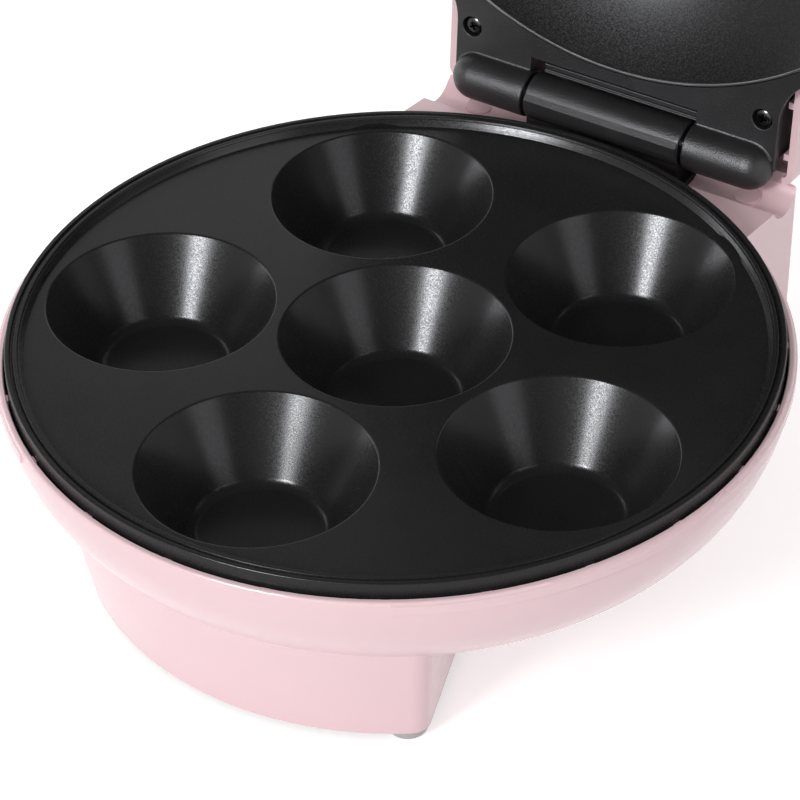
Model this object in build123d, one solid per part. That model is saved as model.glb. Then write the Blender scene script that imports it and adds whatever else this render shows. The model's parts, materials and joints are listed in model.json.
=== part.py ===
from build123d import *
import os
from math import asin, cos, degrees, hypot, radians, sin, sqrt, tan

# Cupcake maker for six cakes: a round base on a waisted stand, a cooking plate with six cups
# and a domed lid on a rear hinge. Lengths are millimetres, angles are degrees.
# The table is at Z 0 and the front faces -Y. The pieces are drawn about the axis of the
# cooking plate with the lid closed, then the lid is opened and the whole is moved so that
# the origin is the middle of the footprint.
PLATE_Y = -41.8

# Cups and cooking plate
CUP_MOUTH_R = 35.0
CUP_FLOOR_R = 20.2
CUP_DEPTH = 23.5
CUP_FLOOR_FILLET = 4.0
CUP_EDGE_FILLET = 0.8
CUP_RING_R = 73.4
CUP_RING_COUNT = 5
FIRST_CUP_ANGLE = -90.0
FLOOR_Z = 73.6
PLATE_T = 2.4
CUP_WALL = 2.2
RIM_R = 116.3
RIM_RISE = 2.7
RIM_RIDGES = ((112.15, 2.2), (112.65, 2.6), (113.7, 2.6))
RIM_RIDGE_FILLET = 0.2
RIM_PROFILE = ((110.8, 0.0), (111.3, 0.9), RIM_RIDGES[0], (112.35, 2.0), RIM_RIDGES[1], RIM_RIDGES[2],
               (114.15, 1.7), (114.6, 1.7), (114.9, RIM_RISE))
SKIRT_DROP = 9.0
SKIRT_T = 2.2

# Lower housing
HOUSING_R = 119.1
WALL = 2.05
BOWL_ARC_R = 44.0
BOWL_ARC_Z = 71.6
LIP_Z = 71.75
LIP_EDGE_R = 0.9
BAND_STANDS_OUT = 0.45
BAND_Z = 67.8
BAND_GAP_HALF_ANGLE = 32.0
TAB_COUNT = 24
TAB_WIDTH = 2.8
TAB_INNER_R = 116.5
TAB_TOP_Z = 71.1
TAB_HEIGHT = 9.0

# Stand: curved front, flat sides that run in towards a waist, then out to the hinge block
STAND_Z = 3.5
STAND_TOP_Z = 58.0
STAND_FRONT_R = 98.7
STAND_FRONT_LEAN = 10.7
STAND_SIDE_POINT = (59.4, -77.7)
STAND_SIDE_TURN = 18.4
STAND_SIDE_LEAN = 4.3
STAND_SIDE_RUN = 30.0
STAND_REAR_HALF = 63.2
STAND_REAR_Y = 99.0
STAND_CORNER_R = 6.0
STAND_WALL = 2.4

# Hinge block at the back of the lower housing
BLOCK_HALF = 65.0
BLOCK_FRONT_Y = 98.0
BLOCK_REAR_Y = 136.0
BLOCK_CORNER_R = 3.0
BLOCK_DRAFT = 1.0
FACET_FRONT = (98.0, 71.55)
RIDGE = (118.7, 68.7)
TROUGH_LOW = (126.3, 63.8)
TROUGH_REAR = (134.6, 69.1)
BLOCK_ROOF_Z = 60.8
POCKET_HALF = 30.8
POCKET_FRONT_Y = 119.5
POCKET_REAR_Y = 133.6
POCKET_FLOOR_Z = 47.0
POCKET_WALL = 2.2
PLUG_PLACE = (50.2, 129.4)
PLUG_R = 4.4
GLAND_X = 40.0
GLAND_Z = 22.0
GLAND_HOLE_R = 6.2
GLAND_FLANGE_R = 8.6
GLAND_BORE_R = 3.3

# Hinge
HINGE_Y = 128.8
HINGE_Z = 76.6
KNUCKLE_R = 7.9
CENTRE_HALF = 28.35
OUTER_START = 29.6
BALL_X = 50.6
KNUCKLE_END_FILLET = 0.7
KNUCKLE_ROOT_FILLET = 0.9
BALL_ROOT_TURN = 62.0
PIN_R = 2.0
PIN_CLEARANCE = 0.05
PIN_START = 12.0
PIN_END = 48.0
FACET_Y = 120.55
FACET_LOW_Z = 75.9
FACET_HIGH_Z = 79.2
OPEN_ANGLE = 95.0
KNUCKLE_SCREW_PLACE = (18.0, 126.5)

# Feet and bottom cover
PAD_R = 6.0
PAD_STEM_R = 3.8
FRONT_PAD = (51.4, -76.2)
REAR_PAD = (53.5, 121.0)
COVER_Z = 5.8
COVER_T = 2.4
COVER_GAP = 0.3
FRONT_BOSS = (40.0, -58.0)
REAR_BOSS = (47.0, 106.0)
BOSS_R = 4.2
SCREW_R = 1.5
SCREW_HOLE_R = 1.6
HEAD_R = 3.4
HEAD_T = 2.2

# Posts that carry the plates
POST_RING_R = 45.0
POST_ANGLES = (-126.0, -54.0, 90.0)
POST_TOP_Z = 43.4
WASHER_T = 0.7
EARTH_LUG_REACH = 9.5
SHOULDER_Z = 36.0
SHOULDER_R = 6.0

# Heating elements
ELEMENT_R = 3.3
LOWER_ELEMENT_RING_R = 66.0
UPPER_ELEMENT_RING_R = 62.0
ELEMENT_ARC = 322.0
PIN_REACH = 1.6
ELEMENT_GAP = 0.05
STRAP_GAP = 0.15
SHEET_T = 0.8
LOWER_REFLECTOR_R = 86.0
UPPER_REFLECTOR_R = 84.0
CLIP_ANGLES = (-90.0, 54.0, 198.0)
BLADE_END = 11.2
DUCT = (0.0, 22.0)
DUCT_R = 9.0
TERMINAL_BLOCK_Y = 62.0
TERMINAL_PITCH = 10.0
WIRE_R = 1.3

# Lid
LID_RIM_Z = 72.65
LID_ARC_Z = 88.0
LID_ARC_SWEEP = 82.0
FRAME_Z = 76.6
FRAME_T = 2.4
FRAME_R = 116.7
FRAME_INNER_R = 111.7
FRAME_EAR_HALF = 59.0
FRAME_EAR_FILLET = 18.5
FRAME_EDGE_FILLET = 0.4
FRAME_SIDE_DEPTH = 15.0
EAR_HALF = 64.0
EAR_REAR_Y = 135.0
EAR_RIM_Z = 81.3
EAR_TOP_Z = 101.0
EAR_WALL = 2.5
EAR_CORNER_R = 4.0
RIM_RUN_UP = (86.0, 98.0)
NOTCH_LEFT = -30.6
NOTCH_RIGHT = 30.5
NOTCH_Y = 115.7
STRIP_LEFT = -25.4
STRIP_RIGHT = 30.3
STRIP_FRONT_Y = 116.4
STRIP_REAR_Y = 119.85
STRIP_RIDGE_YS = (116.85, 118.8, 119.45)
STRIP_RIDGE_R = 0.35
FRAME_SCREW = (53.2, 111.6)
RECESS_R = 3.5
RECESS_EDGE = 0.3
RECESS_DEPTH = 2.7
RECESS_WALL = 1.3
RIB_YS = (106.9, 125.4)
RIB_WIDTH = 2.2

# Upper plate
UPPER_RIM_R = 111.4
UPPER_RIM_Z = 76.2
UPPER_FLANGE_R = 110.4
UPPER_FLANGE_T = 1.8
DOME_RISE = 34.0
DOME_T = 2.2
PAD_RING_Z = 105.6
UPPER_REFLECTOR_Z = 119.0
LID_WIRE_Z = 125.0
FUSE_LEAD_X = 20.0
PLATE_TAB_R = 104.0
PLATE_TAB_ANGLES = (-135.0, -45.0, 45.0, 135.0)
PLATE_TAB_Z = 86.2
PLATE_TAB_T = 1.5

# Handle and indicator lights
HANDLE_R = 142.0
HANDLE_HALF_ANGLE = 25.0
HANDLE_Z = 73.6
HANDLE_TOP_Z = 87.0
HANDLE_WALL = 2.2
LENS_X = 9.0
LENS_Y = -130.0
LENS_R = 3.2
LAMP_WIRE_PLACE = (0.0, -118.0, 82.5)
HANDLE_SCREW_X = 34.0
HANDLE_SCREW_Y = -126.5


def spin(profile, sweep=360.0, start=0.0):
    """Turn a section, drawn as radius and height, about the plate's axis."""
    return revolve(Rot(0, 0, start) * (Plane.XZ * profile), Axis.Z, sweep)


def corner(sketch, x, y):
    """The vertex of a flat sketch nearest to a point."""
    return sketch.vertices().sort_by_distance(Vector(x, y, 0))[0]


def polygon(points):
    """A flat face with its corners at the given points."""
    return Polygon(*points, align=None)


def rod(radius, low_z, high_z, x=0.0, y=0.0):
    """An upright cylinder between two heights."""
    return Pos(x, y, (low_z + high_z) / 2) * Cylinder(radius, high_z - low_z)


def rod_x(radius, x0, x1, y, z):
    """A cylinder along X."""
    return Pos((x0 + x1) / 2, y, z) * Rot(0, 90, 0) * Cylinder(radius, abs(x1 - x0))


def block(x0, x1, y0, y1, z0, z1):
    """A box between two corners."""
    return Pos((x0 + x1) / 2, (y0 + y1) / 2, (z0 + z1) / 2) * Box(x1 - x0, y1 - y0, z1 - z0)


def side_section(face, half_width):
    """Extrude a face drawn as Y and Z across the width of the object."""
    return extrude(Plane.YZ * face, amount=half_width, both=True)


def polar(radius, angle):
    """Plan position at a radius and angle about the plate's axis."""
    return radius * cos(radians(angle)), radius * sin(radians(angle))


def both_sides(point):
    """A plan position and its mirror image across the centre plane."""
    return [point, (-point[0], point[1])]


def screw(x, y, seat_z, length, down=True, head_r=HEAD_R, shank_r=SCREW_R):
    """A pan head screw on a seat: its head hangs down and its shank points up, or the other way."""
    head = polygon([(0, 0), (0, -HEAD_T), (head_r * 0.7, -HEAD_T), (head_r, -HEAD_T * 0.4), (head_r, 0)])
    body = revolve(Plane.XZ * head, Axis.Z) + rod(shank_r, 0, length)
    return Pos(x, y, seat_z) * (body if down else Rot(180, 0, 0) * body)


def cup_places():
    """Plan positions of the centre cup and the ring of cups round it."""
    step = 360.0 / CUP_RING_COUNT
    ring = [polar(CUP_RING_R, FIRST_CUP_ANGLE + step * i) for i in range(CUP_RING_COUNT)]
    return [(0.0, 0.0)] + ring


def cup_hollow():
    """The space in one cup, with its rounded floor and mouth."""
    face = polygon([(0, 1), (CUP_MOUTH_R + 3, 1), (CUP_MOUTH_R + 3, 0), (CUP_MOUTH_R, 0),
                    (CUP_FLOOR_R, -CUP_DEPTH), (0, -CUP_DEPTH)])
    face = fillet(corner(face, CUP_FLOOR_R, -CUP_DEPTH), CUP_FLOOR_FILLET)
    face = fillet(corner(face, CUP_MOUTH_R, 0), CUP_EDGE_FILLET)
    return spin(face)


def cup_body():
    """The outside of one cup below the plate."""
    slope = (CUP_MOUTH_R - CUP_FLOOR_R) / CUP_DEPTH
    side = CUP_WALL * sqrt(1 + slope * slope)
    low = -CUP_DEPTH - PLATE_T
    low_r = CUP_MOUTH_R + side + slope * low
    face = polygon([(0, -0.5), (CUP_MOUTH_R + side - 0.5 * slope, -0.5), (low_r, low), (0, low)])
    face = fillet(corner(face, low_r, low), CUP_FLOOR_FILLET)
    return spin(face)


def make_lower_plate():
    """Cooking plate: a flat disc with six tapered cups, a ridged rim and three screw bosses."""
    skirt_r = RIM_R - SKIRT_T
    rim = polygon([(0, 0), *RIM_PROFILE, (RIM_R, RIM_RISE), (RIM_R, -SKIRT_DROP), (skirt_r, -SKIRT_DROP),
                   (skirt_r, -PLATE_T), (0, -PLATE_T)])
    rim = fillet(corner(rim, RIM_R, RIM_RISE), 0.5)
    for ridge in RIM_RIDGES:
        rim = fillet(corner(rim, *ridge), RIM_RIDGE_FILLET)
    plate = spin(rim)
    bodies = cup_body()
    hollows = cup_hollow()
    for x, y in cup_places():
        plate += Pos(x, y, 0) * bodies
    for x, y in cup_places():
        plate -= Pos(x, y, 0) * hollows
    plate = Pos(0, 0, FLOOR_Z) * plate
    for angle in POST_ANGLES:
        x, y = polar(POST_RING_R, angle)
        plate += rod(BOSS_R, POST_TOP_Z + WASHER_T, FLOOR_Z - 1.5, x, y)
        plate -= rod(SCREW_HOLE_R, POST_TOP_Z, POST_TOP_Z + 16.0, x, y)
    return plate


def bowl(radius, arc_r, top_z, edge_r=0.0):
    """A round bowl, solid to its top: flat floor, round side that ends upright, rounded edge."""
    centre_r = radius - arc_r
    floor_z = BOWL_ARC_Z - arc_r
    end_z = top_z - edge_r
    sweep_up = 90 - degrees(asin((BOWL_ARC_Z - end_z) / arc_r)) if edge_r else 90
    side = CenterArc((centre_r, BOWL_ARC_Z), arc_r, 270, sweep_up)
    end = side @ 1
    outline = Line((0, floor_z), (centre_r, floor_z)) + side
    if edge_r:
        outline += ThreePointArc((end.X, end.Y), (end.X - edge_r * 0.3, end.Y + edge_r * 0.7),
                                 (end.X - edge_r, top_z))
        outline += Line((end.X - edge_r, top_z), (0, top_z))
    else:
        outline += Line((radius, BOWL_ARC_Z), (radius, top_z)) + Line((radius, top_z), (0, top_z))
    outline += Line((0, top_z), (0, floor_z))
    return spin(make_face(outline))


def stand_outline(z, inset=0.0, rear_y=STAND_REAR_Y):
    """Plan of the stand at a height, drawn in by a wall's thickness."""
    rise = z - STAND_Z
    front_r = STAND_FRONT_R + rise * tan(radians(STAND_FRONT_LEAN)) - inset
    out = rise * tan(radians(STAND_SIDE_LEAN)) - inset
    turn = radians(STAND_SIDE_TURN)
    along = Vector(-sin(turn), cos(turn))
    start = Vector(*STAND_SIDE_POINT) + Vector(cos(turn), sin(turn)) * out
    towards = start.X * along.X + start.Y * along.Y
    step = -towards - sqrt(towards * towards - hypot(start.X, start.Y) ** 2 + front_r ** 2)
    front = start + along * step
    waist = start + along * STAND_SIDE_RUN
    rear = Vector(STAND_REAR_HALF - inset, rear_y)
    right = (Line((front.X, front.Y), (waist.X, waist.Y))
             + TangentArc((waist.X, waist.Y), (rear.X, rear.Y), tangent=(along.X, along.Y)))
    left = mirror(right, Plane.YZ)
    nose = ThreePointArc((front.X, front.Y), (0, -front_r), (-front.X, front.Y))
    back = Line((rear.X, rear.Y), (-rear.X, rear.Y))
    face = make_face(right + left + nose + back)
    radius = STAND_CORNER_R - min(inset, 3.0)
    for x in (front.X, -front.X):
        face = fillet(corner(face, x, front.Y), radius)
    return face


def stand_solid(inset, low_z, high_z, rear_y=STAND_REAR_Y):
    """The stand between two heights, as a drafted solid."""
    low = Pos(0, 0, low_z) * stand_outline(low_z, inset, rear_y)
    high = Pos(0, 0, high_z) * stand_outline(high_z, inset, rear_y)
    return loft([low, high], ruled=True)


def block_plan(inset, top_z, low_z):
    """The hinge block's plan, drafted so that it is widest at the top."""
    depth = BLOCK_REAR_Y - BLOCK_FRONT_Y - inset
    face = Pos(0, BLOCK_FRONT_Y + depth / 2) * Rectangle(2 * (BLOCK_HALF - inset), depth)
    for x in (BLOCK_HALF - inset, inset - BLOCK_HALF):
        face = fillet(corner(face, x, BLOCK_REAR_Y - inset), max(BLOCK_CORNER_R - inset, 0.6))
    return extrude(Pos(0, 0, top_z) * face, amount=low_z - top_z, taper=BLOCK_DRAFT)


def make_hinge_block():
    """Hinge block: a sloping facet, a ridge and a trough under the knuckles."""
    rear_y = BLOCK_REAR_Y + 2
    rear_z = TROUGH_REAR[1]
    outline = (Line(FACET_FRONT, RIDGE) + ThreePointArc(RIDGE, TROUGH_LOW, TROUGH_REAR)
               + Line(TROUGH_REAR, (rear_y, rear_z)) + Line((rear_y, rear_z), (rear_y, STAND_Z))
               + Line((rear_y, STAND_Z), (BLOCK_FRONT_Y, STAND_Z))
               + Line((BLOCK_FRONT_Y, STAND_Z), FACET_FRONT))
    return block_plan(0.0, FACET_FRONT[1] + 1, STAND_Z) & side_section(make_face(outline), BLOCK_HALF + 5)


def make_lower_housing():
    """Lower housing: bowl with its lip, stand, hinge block, tabs and screw posts."""
    inner_r = HOUSING_R - WALL
    floor_out_z = BOWL_ARC_Z - BOWL_ARC_R
    body = bowl(HOUSING_R, BOWL_ARC_R, LIP_Z, LIP_EDGE_R)
    body += stand_solid(0.0, STAND_Z, STAND_TOP_Z) + make_hinge_block()
    edge = polygon([(inner_r - 1, LIP_Z - 1.3), (inner_r + 1, LIP_Z + 0.7), (inner_r - 1, LIP_Z + 0.7)])
    band_r = HOUSING_R + BAND_STANDS_OUT
    band = polygon([(HOUSING_R - 0.5, BAND_Z), (band_r, BAND_Z), (band_r, LIP_Z - 1.0),
                    (HOUSING_R - 0.5, LIP_Z - 0.3)])
    body += spin(band, 360 - 2 * BAND_GAP_HALF_ANGLE, -90 + BAND_GAP_HALF_ANGLE)
    # bowl's inside, then the hollows of the stand and of the block under it
    body -= bowl(inner_r, BOWL_ARC_R - WALL, LIP_Z + 20)
    body -= spin(edge)
    hollow = stand_solid(STAND_WALL, STAND_Z - 1, STAND_TOP_Z - 4, STAND_REAR_Y + 1)
    hollow += block_plan(STAND_WALL, BLOCK_ROOF_Z, STAND_Z - 1)
    body -= hollow - bowl(HOUSING_R, BOWL_ARC_R, LIP_Z)
    half = POCKET_HALF + POCKET_WALL
    front = POCKET_FRONT_Y - POCKET_WALL
    low = POCKET_FLOOR_Z - POCKET_WALL
    body += block(-half, half, front, POCKET_REAR_Y + 0.5, low, BLOCK_ROOF_Z + 1)
    body -= block(-POCKET_HALF, POCKET_HALF, POCKET_FRONT_Y, POCKET_REAR_Y, POCKET_FLOOR_Z, FLOOR_Z + 10)
    tab_half = TAB_WIDTH / 2
    tab = block(TAB_INNER_R, inner_r + 0.6, -tab_half, tab_half, TAB_TOP_Z - TAB_HEIGHT, TAB_TOP_Z)
    for i in range(TAB_COUNT):
        body += Rot(0, 0, 360 / TAB_COUNT * i) * tab
    for angle in POST_ANGLES:
        x, y = polar(POST_RING_R, angle)
        body += rod(SHOULDER_R, floor_out_z + 1, SHOULDER_Z, x, y) + rod(BOSS_R, SHOULDER_Z, POST_TOP_Z, x, y)
        body -= rod(SCREW_HOLE_R, floor_out_z - 1, POST_TOP_Z + 1, x, y)
    boss_low = COVER_Z + COVER_T + 0.1
    for x, y in both_sides(FRONT_BOSS):
        body += rod(BOSS_R, boss_low, floor_out_z + 1, x, y)
        body -= rod(SCREW_HOLE_R, boss_low - 1, boss_low + 14, x, y)
    for x, y in both_sides(REAR_BOSS):
        body += rod(BOSS_R, boss_low, BLOCK_ROOF_Z + 1, x, y)
        body -= rod(SCREW_HOLE_R, boss_low - 1, boss_low + 14, x, y)
    body -= rod(DUCT_R, floor_out_z - 1, floor_out_z + 5, *DUCT)
    body -= gland_seat()
    for x, y in both_sides(PLUG_PLACE):
        body -= rod(PLUG_R + 0.1, TROUGH_LOW[1] - 1.0, TROUGH_LOW[1] + 6, x, y)
    for x, y in both_sides(KNUCKLE_SCREW_PLACE):
        body -= rod(SCREW_HOLE_R, POCKET_FLOOR_Z - 4, POCKET_FLOOR_Z + 1, x, y)
    return body


def gland_seat():
    """Hole in the block's rear wall for the cord gland, with an upright spot face round it."""
    hole = Cylinder(GLAND_HOLE_R, 16)
    spot = Pos(0, 0, -5) * Cylinder(GLAND_FLANGE_R + 0.2, 10)
    return Pos(GLAND_X, gland_face_y(), GLAND_Z) * Rot(90, 0, 0) * (hole + spot)


def gland_face_y():
    """Where the spot face for the cord gland lies in the drafted rear wall."""
    return BLOCK_REAR_Y - (FACET_FRONT[1] + 1 - GLAND_Z) * tan(radians(BLOCK_DRAFT)) - 0.4


def make_trough_plugs():
    """Two round plugs pressed into the hinge block's trough."""
    low = TROUGH_LOW[1] - 1.0
    return [rod(PLUG_R, low, low + 1.8, x, y) for x, y in both_sides(PLUG_PLACE)]


def make_bottom_cover():
    """Bottom cover with vents, foot sockets and screw holes."""
    inset = STAND_WALL + COVER_GAP
    front = stand_outline(STAND_Z, inset, BLOCK_FRONT_Y + 4)
    low_y = BLOCK_FRONT_Y + 2.0
    depth = BLOCK_REAR_Y - low_y - inset - 1.2
    rear = Pos(0, low_y + depth / 2) * Rectangle(2 * (BLOCK_HALF - inset - 1.2), depth)
    cover = extrude(Pos(0, 0, COVER_Z) * (front + rear), amount=COVER_T)
    for row in range(7):
        y = -30.0 + 8.0 * row
        for x in (-16.0, 16.0):
            cover -= Pos(x, y, COVER_Z) * extrude(SlotOverall(24.0, 3.0), amount=COVER_T)
    for x, y in both_sides(FRONT_PAD) + both_sides(REAR_PAD):
        cover -= rod(PAD_STEM_R, COVER_Z - 1, COVER_Z + COVER_T + 1, x, y)
    for x, y in both_sides(FRONT_BOSS) + both_sides(REAR_BOSS):
        cover -= rod(SCREW_HOLE_R, COVER_Z - 1, COVER_Z + COVER_T + 1, x, y)
    return cover


def make_rubber_feet():
    """Four round rubber pads, each with a stem in the bottom cover."""
    pad = polygon([(0, 0), (PAD_R, 0), (PAD_R, STAND_Z - 0.2), (PAD_STEM_R, STAND_Z - 0.2),
                   (PAD_STEM_R, COVER_Z + COVER_T), (0, COVER_Z + COVER_T)])
    pad = fillet(corner(pad, PAD_R, 0), 1.0)
    solid = spin(pad)
    return [Pos(x, y, 0) * solid for x, y in both_sides(FRONT_PAD) + both_sides(REAR_PAD)]


def make_bottom_cover_screws():
    """Four screws that hold the bottom cover."""
    return [screw(x, y, COVER_Z, 14.0) for x, y in both_sides(FRONT_BOSS) + both_sides(REAR_BOSS)]


def make_plate_screws():
    """Three screws up through the bowl's floor into the cooking plate's bosses."""
    seat = BOWL_ARC_Z - BOWL_ARC_R
    return [screw(*polar(POST_RING_R, angle), seat, 30.0) for angle in POST_ANGLES]


def element(ring_r, z, rise):
    """A tubular heating element: an open ring whose two ends turn off to terminals."""
    gap = 360 - ELEMENT_ARC
    start = 90 + gap / 2
    tube = revolve(Pos(ring_r, 0, z) * Rot(90, 0, 0) * Circle(ELEMENT_R), Axis.Z, ELEMENT_ARC)
    solid = Rot(0, 0, start) * tube
    for angle in (90 - gap / 2, 90 + gap / 2):
        x, y = polar(ring_r, angle)
        solid += Pos(x, y, z) * Sphere(ELEMENT_R)
        solid += rod(ELEMENT_R, min(z, z + rise), max(z, z + rise), x, y)
        tip = z + rise * PIN_REACH
        solid += rod(1.2, min(z, tip), max(z, tip), x, y)
    return solid


def hump(radius, middle):
    """A round-topped arch standing on the line y = 0."""
    arch = Pos(0, middle) * Circle(radius) + Rectangle(2 * radius, middle, align=(Align.CENTER, Align.MIN))
    return arch - Rectangle(4 * radius, 2 * radius, align=(Align.CENTER, Align.MAX))


def element_clip(ring_r, angle, seat_z, up):
    """A strap over the heating element with a foot on each side."""
    middle = ELEMENT_R + ELEMENT_GAP
    inner = ELEMENT_R + STRAP_GAP
    outer = inner + SHEET_T
    strap = hump(outer, middle) - hump(inner, middle)
    for x in (-outer - 1.4, outer + 1.4):
        strap += Pos(x, SHEET_T / 2) * Rectangle(4.4, SHEET_T)
    solid = extrude(Plane.XZ * strap, amount=3.0, both=True)
    if not up:
        solid = mirror(solid, Plane.XY)
    return Rot(0, 0, angle) * Pos(ring_r, 0, seat_z) * solid


def make_lower_heater():
    """Heating element under the cups."""
    return element(LOWER_ELEMENT_RING_R, cup_underside() - ELEMENT_R - ELEMENT_GAP, -6.0)


def cup_underside():
    """Height of the flat outside of the cups' floors."""
    return FLOOR_Z - CUP_DEPTH - PLATE_T


def make_lower_heater_clips():
    """Three straps that hold the lower heating element against the cups."""
    return [element_clip(LOWER_ELEMENT_RING_R, a, cup_underside(), False) for a in CLIP_ANGLES]


def make_reflector(radius, z, edge, hole_r):
    """A thin steel pan with a turned edge and holes for posts and terminals."""
    edge_r = radius + abs(edge) * 0.5
    pan = polygon([(0, z), (radius, z), (edge_r, z + edge), (edge_r - 1.0, z + edge),
                   (radius - 0.6, z + SHEET_T), (0, z + SHEET_T)])
    solid = spin(pan)
    for angle in POST_ANGLES:
        x, y = polar(POST_RING_R, angle)
        solid -= rod(hole_r, z - 1, z + SHEET_T + 1, x, y)
    return solid


def make_lower_reflector():
    """Reflector on the shoulders of the lower housing's posts."""
    pan = make_reflector(LOWER_REFLECTOR_R, SHOULDER_Z, 4.0, BOSS_R + 0.3)
    pan -= rod(11.0, SHOULDER_Z - 1, SHOULDER_Z + 3)
    low, high = SHOULDER_Z - 1, SHOULDER_Z + 3
    pan -= block(-26, 26, LOWER_ELEMENT_RING_R - 9, LOWER_ELEMENT_RING_R + 3, low, high)
    for x in (-EARTH_LUG_REACH, EARTH_LUG_REACH):
        pan -= rod(2.4, low, high, x, POST_RING_R)
    return pan


def make_thermostat():
    """Bimetal disc thermostat under the centre cup, with two blade terminals."""
    top = cup_underside()
    body = rod(8.0, top - 1.6, top, 0, 0) + rod(7.0, top - 8.0, top - 1.6)
    for x in (-4.0, 4.0):
        body += block(x - 0.4, x + 0.4, -2.4, 2.4, top - BLADE_END, top - 7.9)
    return body


def make_terminal_block():
    """Three-way terminal block on the bottom cover."""
    low = COVER_Z + COVER_T
    body = block(-16, 16, TERMINAL_BLOCK_Y - 7, TERMINAL_BLOCK_Y + 7, low, low + 4)
    for i in (-1, 0, 1):
        x = i * TERMINAL_PITCH
        body += block(x - 4, x + 4, TERMINAL_BLOCK_Y - 7, TERMINAL_BLOCK_Y + 7, low, low + 12)
        body -= rod(1.9, low + 5, low + 13, x, TERMINAL_BLOCK_Y)
    return body


def make_terminal_screws():
    """The clamp screws in the terminal block."""
    low = COVER_Z + COVER_T
    return [rod(1.8, low + 5, low + 10.5, i * TERMINAL_PITCH, TERMINAL_BLOCK_Y) for i in (-1, 0, 1)]


def wire(points, radius=WIRE_R, bend=3.0):
    """A sleeved wire along straight runs joined by round bends."""
    path = FilletPolyline(*points, radius=bend)
    face = Plane(origin=path @ 0, z_dir=path % 0) * Circle(radius)
    return sweep(face, path=path)


def terminal_place(pole, level=7.0):
    """Where a wire meets one pole of the terminal block."""
    return pole * TERMINAL_PITCH, TERMINAL_BLOCK_Y - 7.1, COVER_Z + COVER_T + level


def make_base_wiring():
    """Sleeved wires between the terminal block, the thermostat, the heating element and earth."""
    run_z = 32.0
    blade_z = cup_underside() - BLADE_END - 0.1
    pin_x, pin_y = polar(LOWER_ELEMENT_RING_R, 90 - (360 - ELEMENT_ARC) / 2)
    pin_z = cup_underside() - ELEMENT_R - ELEMENT_GAP - 6.0 * PIN_REACH - 0.1
    live = terminal_place(-1)
    neutral = terminal_place(0)
    earth = terminal_place(1)
    z = live[2]
    return [
        wire([live, (live[0], 40, z), (-4, 22, z), (-4, 22, run_z), (-4, 0, run_z), (-4, 0, blade_z)]),
        wire([(4, 0, blade_z), (4, 0, run_z), (12, 22, run_z), (pin_x, pin_y, run_z - 1),
              (pin_x, pin_y, pin_z)], bend=1.5),
        wire([neutral, (0, 42, z), (-6, 27, z), (-6, 27, run_z - 1), (-pin_x, pin_y, run_z - 1),
              (-pin_x, pin_y, pin_z)], bend=1.5),
        wire([earth, (earth[0], 44, z), (4, 28, z), (4, 28, run_z - 0.5),
              (EARTH_LUG_REACH, POST_RING_R, run_z - 0.5), (EARTH_LUG_REACH, POST_RING_R, POST_TOP_Z - 0.1)]),
    ]


def make_plate_washers():
    """Insulating washers between two of the housing's posts and the cooking plate."""
    ring = rod(BOSS_R, POST_TOP_Z, POST_TOP_Z + WASHER_T)
    ring -= rod(SCREW_HOLE_R, POST_TOP_Z - 1, POST_TOP_Z + 2)
    return [Pos(*polar(POST_RING_R, angle), 0) * ring for angle in POST_ANGLES[:2]]


def make_earth_tag():
    """Earth tag clamped between the rear post and the cooking plate."""
    x, y = polar(POST_RING_R, POST_ANGLES[2])
    low, high = POST_TOP_Z, POST_TOP_Z + WASHER_T
    tag = rod(BOSS_R, low, high, x, y) + block(x, x + EARTH_LUG_REACH, y - 1.6, y + 1.6, low, high)
    tag += rod(1.9, low, high, x + EARTH_LUG_REACH, y)
    return tag - rod(SCREW_HOLE_R, low - 1, high + 1, x, y)


def make_cord_gland():
    """Flanged rubber gland in the rear wall, with the bore that the mains cord runs through."""
    neck_r = GLAND_HOLE_R - 0.1
    body = polygon([(GLAND_BORE_R, -6), (neck_r, -6), (neck_r, 0.02), (GLAND_FLANGE_R, 0.02),
                    (GLAND_FLANGE_R, 2.2), (7.2, 3.4), (5.6, 10.0), (GLAND_BORE_R, 10.0)])
    turned = revolve(Plane.XZ * body, Axis.Z)
    return Pos(GLAND_X, gland_face_y(), GLAND_Z) * Rot(-90, 0, 0) * turned


def on_hinge(face):
    """Turn a section, drawn as X and radius, about the hinge's axis."""
    return Pos(0, HINGE_Y, HINGE_Z) * revolve(face, Axis.X)


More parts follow.
